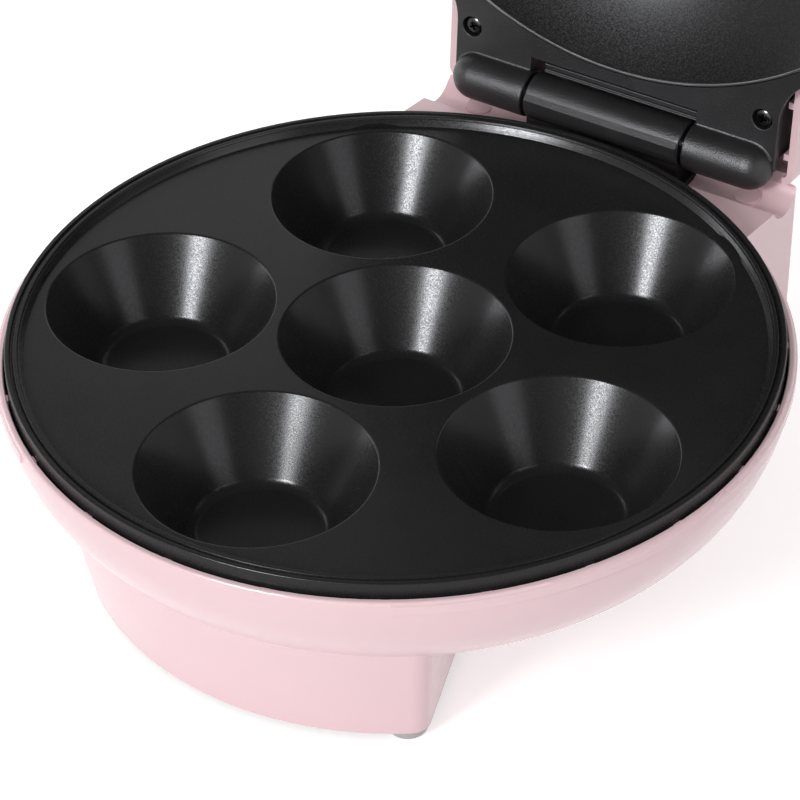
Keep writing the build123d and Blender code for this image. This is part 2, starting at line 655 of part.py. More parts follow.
def make_centre_knuckle():
    """Fixed middle knuckle with a flat front facet, on a bracket in the housing's pocket."""
    face = Pos(0, KNUCKLE_R / 2) * Rectangle(2 * CENTRE_HALF, KNUCKLE_R)
    for x in (-CENTRE_HALF, CENTRE_HALF):
        face = fillet(corner(face, x, KNUCKLE_R), KNUCKLE_END_FILLET)
    barrel = on_hinge(face)
    high = sqrt(KNUCKLE_R ** 2 - (FACET_HIGH_Z + 1.6 - HINGE_Z) ** 2)
    facet = polygon([(FACET_Y, FACET_LOW_Z), (FACET_Y, FACET_HIGH_Z), (HINGE_Y - high, FACET_HIGH_Z + 1.6),
                     (HINGE_Y, HINGE_Z), (HINGE_Y, FACET_LOW_Z)])
    neck = polygon([(HINGE_Y - 6.0, POCKET_FLOOR_Z), (HINGE_Y + 4.4, POCKET_FLOOR_Z),
                    (HINGE_Y + 4.4, HINGE_Z - 3), (HINGE_Y - 6.0, HINGE_Z - 3)])
    flank = CENTRE_HALF - KNUCKLE_END_FILLET / 2
    solid = barrel + side_section(facet, flank) + side_section(neck, flank)
    gap = 0.3
    half = POCKET_HALF - gap
    solid += block(-half, half, POCKET_FRONT_Y + gap, POCKET_REAR_Y - gap, POCKET_FLOOR_Z, 65.5)
    bore_r = PIN_R + PIN_CLEARANCE
    solid -= rod_x(bore_r, -CENTRE_HALF - 1, CENTRE_HALF + 1, HINGE_Y, HINGE_Z)
    for x, y in both_sides(KNUCKLE_SCREW_PLACE):
        solid -= rod(SCREW_HOLE_R, POCKET_FLOOR_Z - 1, POCKET_FLOOR_Z + 12, x, y)
    return solid


def make_knuckle_screws():
    """Two screws up into the centre knuckle's bracket."""
    seat = POCKET_FLOOR_Z - POCKET_WALL
    return [screw(x, y, seat, 12.0) for x, y in both_sides(KNUCKLE_SCREW_PLACE)]


def lid_dome(radius, arc_r, low_z):
    """The lid's outside or inside: upright rim, rounded shoulder, shallow crown."""
    centre_r = HOUSING_R - BOWL_ARC_R
    sweep_end = radians(LID_ARC_SWEEP)
    edge = (centre_r + arc_r * cos(sweep_end), LID_ARC_Z + arc_r * sin(sweep_end))
    crown_r = edge[0] / cos(sweep_end)
    crown_z = edge[1] - crown_r * sin(sweep_end)
    outline = (Line((0, low_z), (radius, low_z)) + Line((radius, low_z), (radius, LID_ARC_Z))
               + CenterArc((centre_r, LID_ARC_Z), arc_r, 0, LID_ARC_SWEEP)
               + CenterArc((0, crown_z), crown_r, LID_ARC_SWEEP, 90 - LID_ARC_SWEEP)
               + Line((0, crown_z + crown_r), (0, low_z)))
    return spin(make_face(outline))


def ear_solid(inset, low_z):
    """The lid's rear ear over the hinge, outside or inside."""
    top = EAR_TOP_Z - inset
    rear = EAR_REAR_Y - inset
    profile = polygon([(84, low_z), (rear, low_z), (rear, top - 8), (rear - 14, top), (84, top)])
    profile = fillet(corner(profile, rear, top - 8), 5.0)
    profile = fillet(corner(profile, rear - 14, top), 12.0)
    depth = rear - 84
    plan = Pos(0, 84 + depth / 2) * Rectangle(2 * (EAR_HALF - inset), depth)
    for x in (EAR_HALF - inset, inset - EAR_HALF):
        plan = fillet(corner(plan, x, rear), EAR_CORNER_R - min(inset, 2.5))
    upright = extrude(Pos(0, 0, low_z) * plan, amount=top - low_z)
    return upright & side_section(profile, EAR_HALF + 5)


def handle_plan(inset=0.0):
    """Plan of the front handle: a broad tongue with rounded corners."""
    half = radians(HANDLE_HALF_ANGLE)
    out_r = HANDLE_R - inset
    wide = (out_r * sin(half) - inset, -out_r * cos(half))
    root = (wide[0] + 12.0, -100.0)
    outline = (ThreePointArc((-wide[0], wide[1]), (0, -out_r), wide) + Line(wide, root)
               + Line(root, (-root[0], root[1])) + Line((-root[0], root[1]), (-wide[0], wide[1])))
    face = make_face(outline)
    for x in (wide[0], -wide[0]):
        face = fillet(corner(face, x, wide[1]), 14.0 - inset)
    return face


def make_handle_top():
    """Outside of the handle, with its upper edge rounded."""
    solid = extrude(Pos(0, 0, LID_RIM_Z) * handle_plan(), amount=HANDLE_TOP_Z - LID_RIM_Z)
    top_edges = solid.edges().filter_by_position(Axis.Z, HANDLE_TOP_Z - 0.1, HANDLE_TOP_Z + 0.1)
    front_edges = [e for e in top_edges if e.center().Y < -105]
    return fillet(front_edges, 5.0)


def make_lid_shell():
    """Lid shell: dome, rear ear with its ribs and bosses, and the handle's upper half."""
    inner_r = HOUSING_R - WALL
    shell = lid_dome(HOUSING_R, BOWL_ARC_R, LID_RIM_Z) + ear_solid(0.0, EAR_RIM_Z) + make_handle_top()
    hollow_depth = HANDLE_TOP_Z - HANDLE_WALL - LID_RIM_Z + 1
    hollow_handle = extrude(Pos(0, 0, LID_RIM_Z - 1) * handle_plan(HANDLE_WALL), amount=hollow_depth)
    dome_space = lid_dome(inner_r, BOWL_ARC_R - WALL, LID_RIM_Z - 5)
    full_dome = lid_dome(HOUSING_R - 0.25, BOWL_ARC_R - 0.25, LID_RIM_Z - 5)
    shell -= dome_space + ear_solid(EAR_WALL, LID_RIM_Z - 5)
    shell -= hollow_handle - full_dome
    shell -= rod_x(KNUCKLE_R + 0.5, -FRAME_EAR_HALF - 1, FRAME_EAR_HALF + 1, HINGE_Y, HINGE_Z)
    # the rim runs up to the ear's level on both sides
    run_up = polygon([(RIM_RUN_UP[0], LID_RIM_Z - 1), (RIM_RUN_UP[1], EAR_RIM_Z), (EAR_REAR_Y + 1, EAR_RIM_Z),
                      (EAR_REAR_Y + 1, LID_RIM_Z - 1)])
    shell -= side_section(run_up, HOUSING_R) - block(-60, 60, 0, 200, 0, 200)
    for y in RIB_YS:
        for side in (-1, 1):
            x0, x1 = sorted((side * (FRAME_EAR_HALF + 0.5), side * (EAR_HALF - 1)))
            shell += block(x0, x1, y - RIB_WIDTH / 2, y + RIB_WIDTH / 2, EAR_RIM_Z + 0.6, EAR_TOP_Z - 12)
    boss_low = FRAME_Z + RECESS_DEPTH + RECESS_WALL + 0.1
    for x, y in both_sides(FRAME_SCREW):
        shell += rod(BOSS_R, boss_low, EAR_TOP_Z - 1, x, y)
        shell -= rod(SCREW_HOLE_R, boss_low - 1, boss_low + 12, x, y)
    for x in (-HANDLE_SCREW_X, HANDLE_SCREW_X):
        shell += rod(BOSS_R, HANDLE_Z + 2.5, HANDLE_TOP_Z - 1, x, HANDLE_SCREW_Y)
        shell -= rod(SCREW_HOLE_R, HANDLE_Z, HANDLE_Z + 11, x, HANDLE_SCREW_Y)
    for x in (-LENS_X, LENS_X):
        shell -= rod(LENS_R, HANDLE_TOP_Z - 6, HANDLE_TOP_Z + 2, x, LENS_Y)
    shell -= Pos(*LAMP_WIRE_PLACE) * Rot(90, 0, 0) * Cylinder(1.8, 8)
    return shell


def outer_knuckle():
    """The right outer knuckle: a barrel with a rounded inner end and a ball at its outer end."""
    tip = (BALL_X + KNUCKLE_R, 0)
    bulge = (BALL_X + KNUCKLE_R * cos(radians(45)), KNUCKLE_R * sin(radians(45)))
    outline = (Line((OUTER_START, 0), (OUTER_START, KNUCKLE_R))
               + Line((OUTER_START, KNUCKLE_R), (BALL_X, KNUCKLE_R))
               + ThreePointArc((BALL_X, KNUCKLE_R), bulge, tip) + Line(tip, (OUTER_START, 0)))
    face = make_face(outline)
    return on_hinge(fillet(corner(face, OUTER_START, KNUCKLE_R), KNUCKLE_END_FILLET))


def knuckle_root():
    """Hollow fillet between the frame's face and the right outer knuckle, also round its ball."""
    size = KNUCKLE_ROOT_FILLET
    reach = sqrt(KNUCKLE_R ** 2 + 2 * KNUCKLE_R * size)
    share = KNUCKLE_R / (KNUCKLE_R + size)
    start = (-reach, 0.04)
    middle = (-reach + size * sin(radians(45)), -size + size * cos(radians(45)))
    end = (-reach * share + 0.05, -size * share)
    outline = (ThreePointArc(start, middle, end) + Line(end, (-KNUCKLE_R + 1.2, -0.4))
               + Line((-KNUCKLE_R + 1.2, -0.4), (-KNUCKLE_R + 1.2, 0.6))
               + Line((-KNUCKLE_R + 1.2, 0.6), (-reach, 0.6)) + Line((-reach, 0.6), start))
    face = make_face(outline)
    first_x = NOTCH_RIGHT + 0.4
    along = extrude(Plane.YZ * face, amount=BALL_X - first_x)
    round_ball = Rot(0, 0, 90) * revolve(Plane.XZ * face, Axis.Z, BALL_ROOT_TURN)
    return Pos(first_x, HINGE_Y, HINGE_Z) * along + Pos(BALL_X, HINGE_Y, HINGE_Z) * round_ball


def frame_side_wall():
    """The wall behind the right edge of the frame's ear."""
    x1 = FRAME_EAR_HALF - 0.6
    return block(x1 - 0.8, x1, 104.0, HINGE_Y - 3.0, FRAME_Z + 1, FRAME_Z + FRAME_SIDE_DEPTH)


def make_lid_frame():
    """Black frame round the upper plate, with its ear, notch and two outer knuckles."""
    ear_depth = HINGE_Y - 92.0
    plan = Circle(FRAME_R) + Pos(0, 92.0 + ear_depth / 2) * Rectangle(2 * FRAME_EAR_HALF, ear_depth)
    meet_y = sqrt(FRAME_R ** 2 - FRAME_EAR_HALF ** 2)
    for x in (FRAME_EAR_HALF, -FRAME_EAR_HALF):
        plan = fillet(corner(plan, x, meet_y), FRAME_EAR_FILLET)
    plan -= Circle(FRAME_INNER_R)
    frame = extrude(Pos(0, 0, FRAME_Z) * plan, amount=FRAME_T)
    sides = [e for e in frame.edges() if abs(e.center().Z - FRAME_Z) < 0.01 and abs(e.center().X) > 58.0]
    frame = fillet([e for e in sides if e.center().Y > 90.0], FRAME_EDGE_FILLET)
    frame -= block(NOTCH_LEFT, NOTCH_RIGHT, NOTCH_Y, HINGE_Y + 1, FRAME_Z - 1, FRAME_Z + FRAME_T + 1)
    wall_r = FRAME_R - 1.7
    frame += spin(polygon([(wall_r - 1.4, FRAME_Z + 1), (wall_r, FRAME_Z + 1), (wall_r, FRAME_Z + 4.9),
                           (wall_r - 1.4, FRAME_Z + 4.9)]), 280, -90 - 140)
    tab_z = PLATE_TAB_Z + PLATE_TAB_T
    tab = block(PLATE_TAB_R - BOSS_R, wall_r - 0.2, -4.5, 4.5, PLATE_TAB_Z, tab_z)
    tab -= rod(SCREW_HOLE_R, PLATE_TAB_Z - 1, tab_z + 1, PLATE_TAB_R)
    tab += block(FRAME_INNER_R + 0.9, wall_r - 0.2, -4.5, 4.5, FRAME_Z + 1, tab_z)
    for angle in PLATE_TAB_ANGLES:
        frame += Rot(0, 0, angle) * tab
    half = outer_knuckle() + knuckle_root() + frame_side_wall()
    frame += half + mirror(half, Plane.YZ)
    for side in (-1, 1):
        frame -= rod_x(PIN_R, side * (OUTER_START - 1), side * PIN_END, HINGE_Y, HINGE_Z)
    seat_z = FRAME_Z + RECESS_DEPTH
    wide = RECESS_R + RECESS_EDGE + 1
    mouth = polygon([(0, -1), (wide, -1), (wide, 0), (RECESS_R, 0), (RECESS_R, RECESS_DEPTH),
                     (0, RECESS_DEPTH)])
    recess = spin(fillet(corner(mouth, RECESS_R, 0), RECESS_EDGE))
    for x, y in both_sides(FRAME_SCREW):
        frame += rod(RECESS_R + RECESS_WALL, FRAME_Z + 1, seat_z + RECESS_WALL, x, y)
        frame -= Pos(x, y, FRAME_Z) * recess
        frame -= rod(SCREW_HOLE_R, seat_z - 1, seat_z + RECESS_WALL + 1, x, y)
    return frame


def make_frame_screws():
    """Two crosshead screws in the frame's round recesses."""
    seat = FRAME_Z + RECESS_DEPTH
    return [screw(x, y, seat, 11.0, head_r=3.1) for x, y in both_sides(FRAME_SCREW)]


def make_hinge_pins():
    """Two steel pins held in the outer knuckles and turning in the centre knuckle."""
    return [rod_x(PIN_R, side * PIN_START, side * PIN_END, HINGE_Y, HINGE_Z) for side in (-1, 1)]


def make_hinge_strip():
    """Ridged strip in the frame's notch beside the centre knuckle."""
    strip = block(STRIP_LEFT, STRIP_RIGHT, STRIP_FRONT_Y, STRIP_REAR_Y, FRAME_Z + 1.2, FRAME_Z + 3.6)
    size = STRIP_RIDGE_R
    top = FRAME_Z + 0.3 + size
    for y in STRIP_RIDGE_YS:
        strip += rod_x(size, STRIP_LEFT, STRIP_RIGHT, y, top)
        strip += block(STRIP_LEFT, STRIP_RIGHT, y - size, y + size, top, FRAME_Z + 1.4)
    low, high = FRAME_Z + FRAME_T + 0.1, FRAME_Z + 3.6
    strip += block(STRIP_LEFT + 4, STRIP_RIGHT - 4, NOTCH_Y - 3.0, STRIP_REAR_Y, low, high)
    return strip


def dome_z(radius, lift=0.0):
    """Height of the upper plate's hollow face at a radius, or of a face lifted off it."""
    ball_r = (UPPER_FLANGE_R ** 2 + DOME_RISE ** 2) / (2 * DOME_RISE)
    centre_z = UPPER_RIM_Z + DOME_RISE - ball_r
    return centre_z + sqrt((ball_r + lift) ** 2 - radius ** 2)


def make_upper_plate():
    """Domed upper plate with a rounded rim, a pad for its heating element and its bosses."""
    half = UPPER_FLANGE_R / 2
    flange_top = UPPER_RIM_Z + UPPER_FLANGE_T
    back_r = UPPER_FLANGE_R - 2.6
    hollow = ThreePointArc((UPPER_FLANGE_R, UPPER_RIM_Z), (half, dome_z(half)), (0, dome_z(0)))
    back_top = (0, dome_z(0, DOME_T))
    back_end = (back_r, dome_z(back_r, DOME_T))
    back = ThreePointArc(back_top, (half, dome_z(half, DOME_T)), back_end)
    outline = (Line((UPPER_RIM_R, UPPER_RIM_Z), (UPPER_FLANGE_R, UPPER_RIM_Z)) + hollow
               + Line((0, dome_z(0)), back_top) + back + Line(back_end, (back_r, flange_top))
               + Line((back_r, flange_top), (UPPER_RIM_R, flange_top))
               + Line((UPPER_RIM_R, flange_top), (UPPER_RIM_R, UPPER_RIM_Z)))
    face = make_face(outline)
    face = fillet(corner(face, UPPER_RIM_R, UPPER_RIM_Z), 0.45)
    face = fillet(corner(face, UPPER_FLANGE_R, UPPER_RIM_Z), 0.4)
    plate = spin(face)
    inner = UPPER_ELEMENT_RING_R - 10
    outer = UPPER_ELEMENT_RING_R + 10
    plate += spin(polygon([(inner, dome_z(inner, 1.0)), (outer, dome_z(outer, 1.0)), (outer, PAD_RING_Z),
                           (inner, PAD_RING_Z)]))
    for angle in POST_ANGLES:
        x, y = polar(POST_RING_R, angle)
        plate += rod(BOSS_R, dome_z(POST_RING_R, 1.0), UPPER_REFLECTOR_Z - 0.1, x, y)
        plate -= rod(SCREW_HOLE_R, UPPER_REFLECTOR_Z - 7, UPPER_REFLECTOR_Z, x, y)
    for angle in PLATE_TAB_ANGLES:
        x, y = polar(PLATE_TAB_R, angle)
        boss = rod(BOSS_R, dome_z(PLATE_TAB_R, 1.0), PLATE_TAB_Z - 0.1, x, y)
        plate += boss & rod(UPPER_FLANGE_R - 0.5, 0, 200)
        plate -= rod(SCREW_HOLE_R, PLATE_TAB_Z - 3.0, PLATE_TAB_Z, x, y)
    return plate


def make_upper_plate_screws():
    """Screws of the reflector on the upper plate, and of the plate in the lid frame's tabs."""
    seat = UPPER_REFLECTOR_Z + SHEET_T
    screws = [screw(*polar(POST_RING_R, a), seat, 7.0, down=False) for a in POST_ANGLES]
    seat = PLATE_TAB_Z + PLATE_TAB_T
    return screws + [screw(*polar(PLATE_TAB_R, a), seat, 4.2, down=False) for a in PLATE_TAB_ANGLES]


def make_upper_heater():
    """Heating element on the back of the upper plate."""
    return element(UPPER_ELEMENT_RING_R, PAD_RING_Z + ELEMENT_R + ELEMENT_GAP, 7.0)


def make_upper_heater_clips():
    """Three straps that hold the upper heating element."""
    return [element_clip(UPPER_ELEMENT_RING_R, a, PAD_RING_Z, True) for a in CLIP_ANGLES]


def make_upper_reflector():
    """Reflector over the upper heating element."""
    pan = make_reflector(UPPER_REFLECTOR_R, UPPER_REFLECTOR_Z, -4.0, SCREW_HOLE_R)
    low, high = UPPER_REFLECTOR_Z - 2, UPPER_REFLECTOR_Z + 3
    pan -= block(-26, 26, UPPER_ELEMENT_RING_R - 9, UPPER_ELEMENT_RING_R + 5, low, high)
    for x in (-FUSE_LEAD_X, FUSE_LEAD_X):
        pan -= rod(3.0, low, high, x)
    return pan


def fuse_z():
    """Height of the thermal fuse on the back of the upper plate."""
    return dome_z(0, DOME_T) + 2.6


def make_thermal_fuse():
    """Thermal fuse in its sleeve on the back of the upper plate."""
    return rod_x(2.5, -9, 9, 0, fuse_z()) + rod_x(0.7, -14, 14, 0, fuse_z())


def make_lid_wiring():
    """Sleeved wires in the lid: fuse to heating element, element to hinge, fuse to lamps."""
    z = fuse_z()
    over_z = LID_WIRE_Z
    pin_x, pin_y = polar(UPPER_ELEMENT_RING_R, 90 - (360 - ELEMENT_ARC) / 2)
    pin_z = PAD_RING_Z + ELEMENT_R + ELEMENT_GAP + 7.0 * PIN_REACH + 0.1
    lead_x = FUSE_LEAD_X
    lamp_x, lamp_y, lamp_z = LAMP_WIRE_PLACE
    return [
        wire([(14.1, 0, z), (lead_x, 0, z), (lead_x, 0, over_z), (pin_x, pin_y, over_z + 1),
              (pin_x, pin_y, pin_z)], bend=2.5),
        wire([(-pin_x, pin_y, pin_z), (-pin_x, pin_y, over_z + 1), (-pin_x, 82, over_z), (-pin_x, 108, 92),
              (-pin_x, 112.5, 86)], bend=2.5),
        wire([(-14.1, 0, z), (-lead_x, 0, z), (-lead_x, 0, over_z), (-lead_x, -30, over_z + 1),
              (0, -86, over_z), (0, -98, 104), (0, -104, lamp_z + 2.5), (0, lamp_y, lamp_z),
              (0, lamp_y - 4, lamp_z)], bend=2.5),
    ]


def make_handle_underside():
    """Black underside of the handle, let into its rim."""
    plan = handle_plan(HANDLE_WALL + 0.2) - Circle(HOUSING_R + 0.3)
    solid = extrude(Pos(0, 0, HANDLE_Z) * plan, amount=2.4)
    for x in (-HANDLE_SCREW_X, HANDLE_SCREW_X):
        solid -= rod(SCREW_HOLE_R, HANDLE_Z - 1, HANDLE_Z + 4, x, HANDLE_SCREW_Y)
    return solid


def make_handle_screws():
    """Two screws up into the handle."""
    places = both_sides((HANDLE_SCREW_X, HANDLE_SCREW_Y))
    return [screw(x, y, HANDLE_Z, 10.0, head_r=2.8) for x, y in places]


def make_lens(x):
    """A domed indicator lens let into the handle's top."""
    face = polygon([(0, -4.5), (LENS_R, -4.5), (LENS_R, 0.4), (LENS_R * 0.6, 1.4), (0, 1.7)])
    return Pos(x, LENS_Y, HANDLE_TOP_Z) * revolve(Plane.XZ * face, Axis.Z)


def make_neon_lamps():
    """Two neon lamps under the lenses on a shared strip."""
    low = HANDLE_Z + 2.6
    strip = block(-14, 14, LENS_Y - 3.5, LENS_Y + 3.5, low, low + 1.5)
    for x in (-LENS_X, LENS_X):
        strip += rod(2.2, low + 1.4, low + 4.6, x, LENS_Y) + Pos(x, LENS_Y, low + 4.6) * Sphere(1.2)
    return strip


BASE_PARTS = {
    "lower_housing": make_lower_housing,
    "bottom_cover": make_bottom_cover,
    "rubber_feet": make_rubber_feet,
    "bottom_cover_screws": make_bottom_cover_screws,
    "lower_plate": make_lower_plate,
    "plate_screws": make_plate_screws,
    "lower_heater": make_lower_heater,
    "lower_heater_clips": make_lower_heater_clips,
    "lower_reflector": make_lower_reflector,
    "thermostat": make_thermostat,
    "terminal_block": make_terminal_block,
    "terminal_screws": make_terminal_screws,
    "base_wiring": make_base_wiring,
    "plate_washers": make_plate_washers,
    "earth_tag": make_earth_tag,
    "cord_gland": make_cord_gland,
    "centre_knuckle": make_centre_knuckle,
    "knuckle_screws": make_knuckle_screws,
    "trough_plugs": make_trough_plugs,
}

LID_PARTS = {
    "lid_shell": make_lid_shell,
    "lid_frame": make_lid_frame,
    "frame_screws": make_frame_screws,
    "hinge_pins": make_hinge_pins,
    "hinge_strip": make_hinge_strip,
    "upper_plate": make_upper_plate,
    "upper_plate_screws": make_upper_plate_screws,
    "upper_heater": make_upper_heater,
    "upper_heater_clips": make_upper_heater_clips,
    "upper_reflector": make_upper_reflector,
    "thermal_fuse": make_thermal_fuse,
    "lid_wiring": make_lid_wiring,
    "handle_underside": make_handle_underside,
    "handle_screws": make_handle_screws,
    "power_lens": lambda: make_lens(-LENS_X),
    "ready_lens": lambda: make_lens(LENS_X),
    "neon_lamps": make_neon_lamps,
}


def as_compound(made):
    """One compound from a solid, or from a list of separate solids."""
    parts = made if isinstance(made, list) else [made]
    return Compound(children=[s for part in parts for s in part.solids()])


def assemble():
    """Every node at rest, with the lid open."""
    hinge = Axis((0, HINGE_Y, HINGE_Z), (1, 0, 0))
    nodes = {name: as_compound(make()) for name, make in BASE_PARTS.items()}
    for name, make in LID_PARTS.items():
        nodes[name] = as_compound(make()).rotate(hinge, -OPEN_ANGLE)
    return nodes


def main():
    """Build the nodes, move them over the origin and write one STEP file for each."""
    os.makedirs("parts", exist_ok=True)
    for name, node in assemble().items():
        export_step(Pos(0, PLATE_Y, 0) * node, f"parts/{name}.step")


main()
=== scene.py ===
"""Looks of a pale pink cupcake maker with its lid open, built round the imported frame."""

from __future__ import annotations

import json
import logging
import math
from dataclasses import dataclass
from enum import Enum

import bmesh
import bpy
from mathutils import Matrix, Vector

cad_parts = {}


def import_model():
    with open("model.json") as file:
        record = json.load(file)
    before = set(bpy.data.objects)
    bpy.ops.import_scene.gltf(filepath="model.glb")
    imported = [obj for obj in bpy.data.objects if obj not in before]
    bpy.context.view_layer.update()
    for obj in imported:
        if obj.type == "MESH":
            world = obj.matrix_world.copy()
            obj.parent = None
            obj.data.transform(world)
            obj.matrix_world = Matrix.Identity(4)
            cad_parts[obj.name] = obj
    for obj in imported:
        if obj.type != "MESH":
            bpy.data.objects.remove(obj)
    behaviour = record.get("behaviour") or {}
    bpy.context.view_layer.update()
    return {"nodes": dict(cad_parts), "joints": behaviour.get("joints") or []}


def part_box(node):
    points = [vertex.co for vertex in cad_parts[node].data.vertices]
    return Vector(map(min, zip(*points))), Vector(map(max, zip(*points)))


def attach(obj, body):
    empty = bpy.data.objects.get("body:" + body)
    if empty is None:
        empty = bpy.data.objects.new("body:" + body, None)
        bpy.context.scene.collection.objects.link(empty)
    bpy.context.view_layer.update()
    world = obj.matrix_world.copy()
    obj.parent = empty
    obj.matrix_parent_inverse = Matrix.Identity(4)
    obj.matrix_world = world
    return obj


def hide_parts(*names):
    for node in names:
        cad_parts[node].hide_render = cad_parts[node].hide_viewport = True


LOG = logging.getLogger("cupcake_maker")
MM = 0.001
ON_AXIS_MM = 1e-6
SEAM_M = 1e-6
SENSOR_WIDTH = 36.0
# Height of the cooking plate's top over the floor, in metres: the lamps and the camera aim at it.
PLATE_FLOOR = 0.0736
# Sockets of a Mix node in its colour mode, where three share each name.
MIX_FIRST, MIX_SECOND, MIX_RESULT = 6, 7, 2
WHITE = (1.0, 1.0, 1.0)
PANEL_WHITE = (0.94, 0.95, 1.0)
Colour = tuple[float, float, float]


class Body(Enum):
    """The two bodies that the lid's hinge joins."""

    BASE = "base"
    LID = "lid"


class Graph:
    """Thin helper that adds and links shader nodes of one material."""

    def __init__(self, name: str) -> None:
        """Start a material that holds only an output.

        Args:
            name: Name of the new material.
        """
        self.material = bpy.data.materials.new(name)
        self.material.use_nodes = True
        self.tree = self.material.node_tree
        self.tree.nodes.clear()
        self.output = self.tree.nodes.new("ShaderNodeOutputMaterial")

    def add(self, kind: str, **values: object) -> bpy.types.Node:
        """Add a node and set its sockets or properties.

        Args:
            kind: Blender's identifier of the node.
            values: Socket names, with underscores for spaces, or property names.

        Returns:
            The new node.
        """
        node = self.tree.nodes.new(kind)
        for key, value in values.items():
            socket = node.inputs.get(key.replace("_", " "))
            if socket is not None:
                socket.default_value = value
            else:
                setattr(node, key, value)
        return node

    def link(self, source: bpy.types.NodeSocket, target: bpy.types.NodeSocket) -> None:
        """Join two sockets."""
        self.tree.links.new(source, target)

    def coordinates(self) -> bpy.types.NodeSocket:
        """Give the piece's own coordinates.

        Returns:
            The socket that carries them, in metres.
        """
        mapping = self.add("ShaderNodeMapping")
        self.link(self.add("ShaderNodeTexCoord").outputs["Object"], mapping.inputs["Vector"])
        return mapping.outputs["Vector"]

    def noise(self, scale: float, detail: float = 2.0, roughness: float = 0.5) -> bpy.types.NodeSocket:
        """Give a noise value from 0 to 1.

        Args:
            scale: Features in each metre.
            detail: Octaves of finer noise.
            roughness: Weight of the finer octaves.

        Returns:
            The socket that carries the noise.
        """
        node = self.add("ShaderNodeTexNoise", Scale=scale, Detail=detail, Roughness=roughness)
        self.link(self.coordinates(), node.inputs["Vector"])
        return node.outputs["Fac"]

    def spread(self, source: bpy.types.NodeSocket, low: float, high: float,
               start: float = 0.0, end: float = 1.0) -> bpy.types.NodeSocket:
        """Map a value from one range to another.

        Args:
            source: Value to map.
            low: Result at the start of the source's range.
            high: Result at its end.
            start: Start of the source's range.
            end: End of the source's range.

        Returns:
            The socket that carries the mapped value.
        """
        node = self.add("ShaderNodeMapRange", From_Min=start, From_Max=end, To_Min=low, To_Max=high)
        self.link(source, node.inputs["Value"])
        return node.outputs["Result"]

    def mix(self, factor: bpy.types.NodeSocket, first: Colour, second: Colour) -> bpy.types.NodeSocket:
        """Blend two colours by a value.

        Args:
            factor: Share of the second colour.
            first: Colour where the value is 0.
            second: Colour where the value is 1.

        Returns:
            The socket that carries the colour.
        """
        node = self.tree.nodes.new("ShaderNodeMix")
        node.data_type = "RGBA"
        node.inputs[MIX_FIRST].default_value = (*first, 1.0)
        node.inputs[MIX_SECOND].default_value = (*second, 1.0)
        self.link(factor, node.inputs["Factor"])
        return node.outputs[MIX_RESULT]

    def bump(self, height: bpy.types.NodeSocket, strength: float, depth: float,
             under: bpy.types.NodeSocket | None = None) -> bpy.types.NodeSocket:
        """Raise the surface by a height.

        Args:
            height: Value that gives the relief.
            strength: Share of the relief that is used.
            depth: Real depth of the relief, in metres.
            under: Normal of a coarser relief below this one.

        Returns:
            The socket that carries the new normal.
        """
        node = self.add("ShaderNodeBump", Strength=strength, Distance=depth)
        self.link(height, node.inputs["Height"])
        if under is not None:
            self.link(under, node.inputs["Normal"])
        return node.outputs["Normal"]

    def shader(self, **values: object) -> bpy.types.Node:
        """Add the surface shader and join it to the output.

        Args:
            values: Socket values of the shader.

        Returns:
            The shader's node.
        """
        node = self.add("ShaderNodeBsdfPrincipled", **values)
        self.link(node.outputs["BSDF"], self.output.inputs["Surface"])
        return node


@dataclass(frozen=True)
class MouldedPlastic:
    """Moulded plastic with a faint flow in its colour and an even grain."""

    name: str
    colour: Colour
    tint: Colour
    roughness: float
    grain: float
    grain_depth: float
    coat: float = 0.0
    specular: float = 0.5

    def build(self) -> bpy.types.Material:
        """Make the material, with slow waves in its sheen under the grain.

        Returns:
            The new material.
        """
        graph = Graph(self.name)
        flow = graph.spread(graph.noise(scale=9.0, detail=3.0), 0.0, 1.0, start=0.3, end=0.7)
        fine = graph.noise(self.grain, detail=2.5, roughness=0.6)
        coarse = graph.noise(scale=90.0)
        shader = graph.shader(Coat_Weight=self.coat, Coat_Roughness=0.08, Specular_IOR_Level=self.specular)
        graph.link(graph.mix(flow, self.colour, self.tint), shader.inputs["Base Color"])
        rough = graph.spread(coarse, self.roughness * 0.86, self.roughness * 1.14, start=0.3, end=0.7)
        graph.link(rough, shader.inputs["Roughness"])
        wave = graph.bump(graph.noise(scale=28.0, detail=1.0), strength=0.35, depth=0.00006)
        graph.link(graph.bump(fine, 1.0, self.grain_depth, wave), shader.inputs["Normal"])
        return graph.material


@dataclass(frozen=True)
class NonStick:
    """Sprayed non-stick coating: near black, smooth to the hand, with a fine spray grain."""

    name: str
    colour: Colour = (0.0150, 0.0150, 0.0153)
    tint: Colour = (0.0182, 0.0182, 0.0187)
    roughness: float = 0.23
    specular: float = 0.20
    grain: float = 2400.0
    grain_depth: float = 0.000011

    def build(self) -> bpy.types.Material:
        """Make the material, whose sheen is broken up into fine dots.

        Returns:
            The new material.
        """
        graph = Graph(self.name)
        shader = graph.shader(Specular_IOR_Level=self.specular)
        cloud = graph.spread(graph.noise(scale=60.0, detail=3.0), 0.0, 1.0, start=0.3, end=0.7)
        graph.link(graph.mix(cloud, self.colour, self.tint), shader.inputs["Base Color"])
        dots = graph.noise(self.grain * 0.8, detail=1.5, roughness=0.7)
        sheen = graph.spread(dots, self.roughness * 0.7, self.roughness * 1.5, start=0.32, end=0.68)
        graph.link(sheen, shader.inputs["Roughness"])
        spray = graph.bump(graph.noise(self.grain, roughness=0.65), 1.0, self.grain_depth)
        graph.link(spray, shader.inputs["Normal"])
        return graph.material


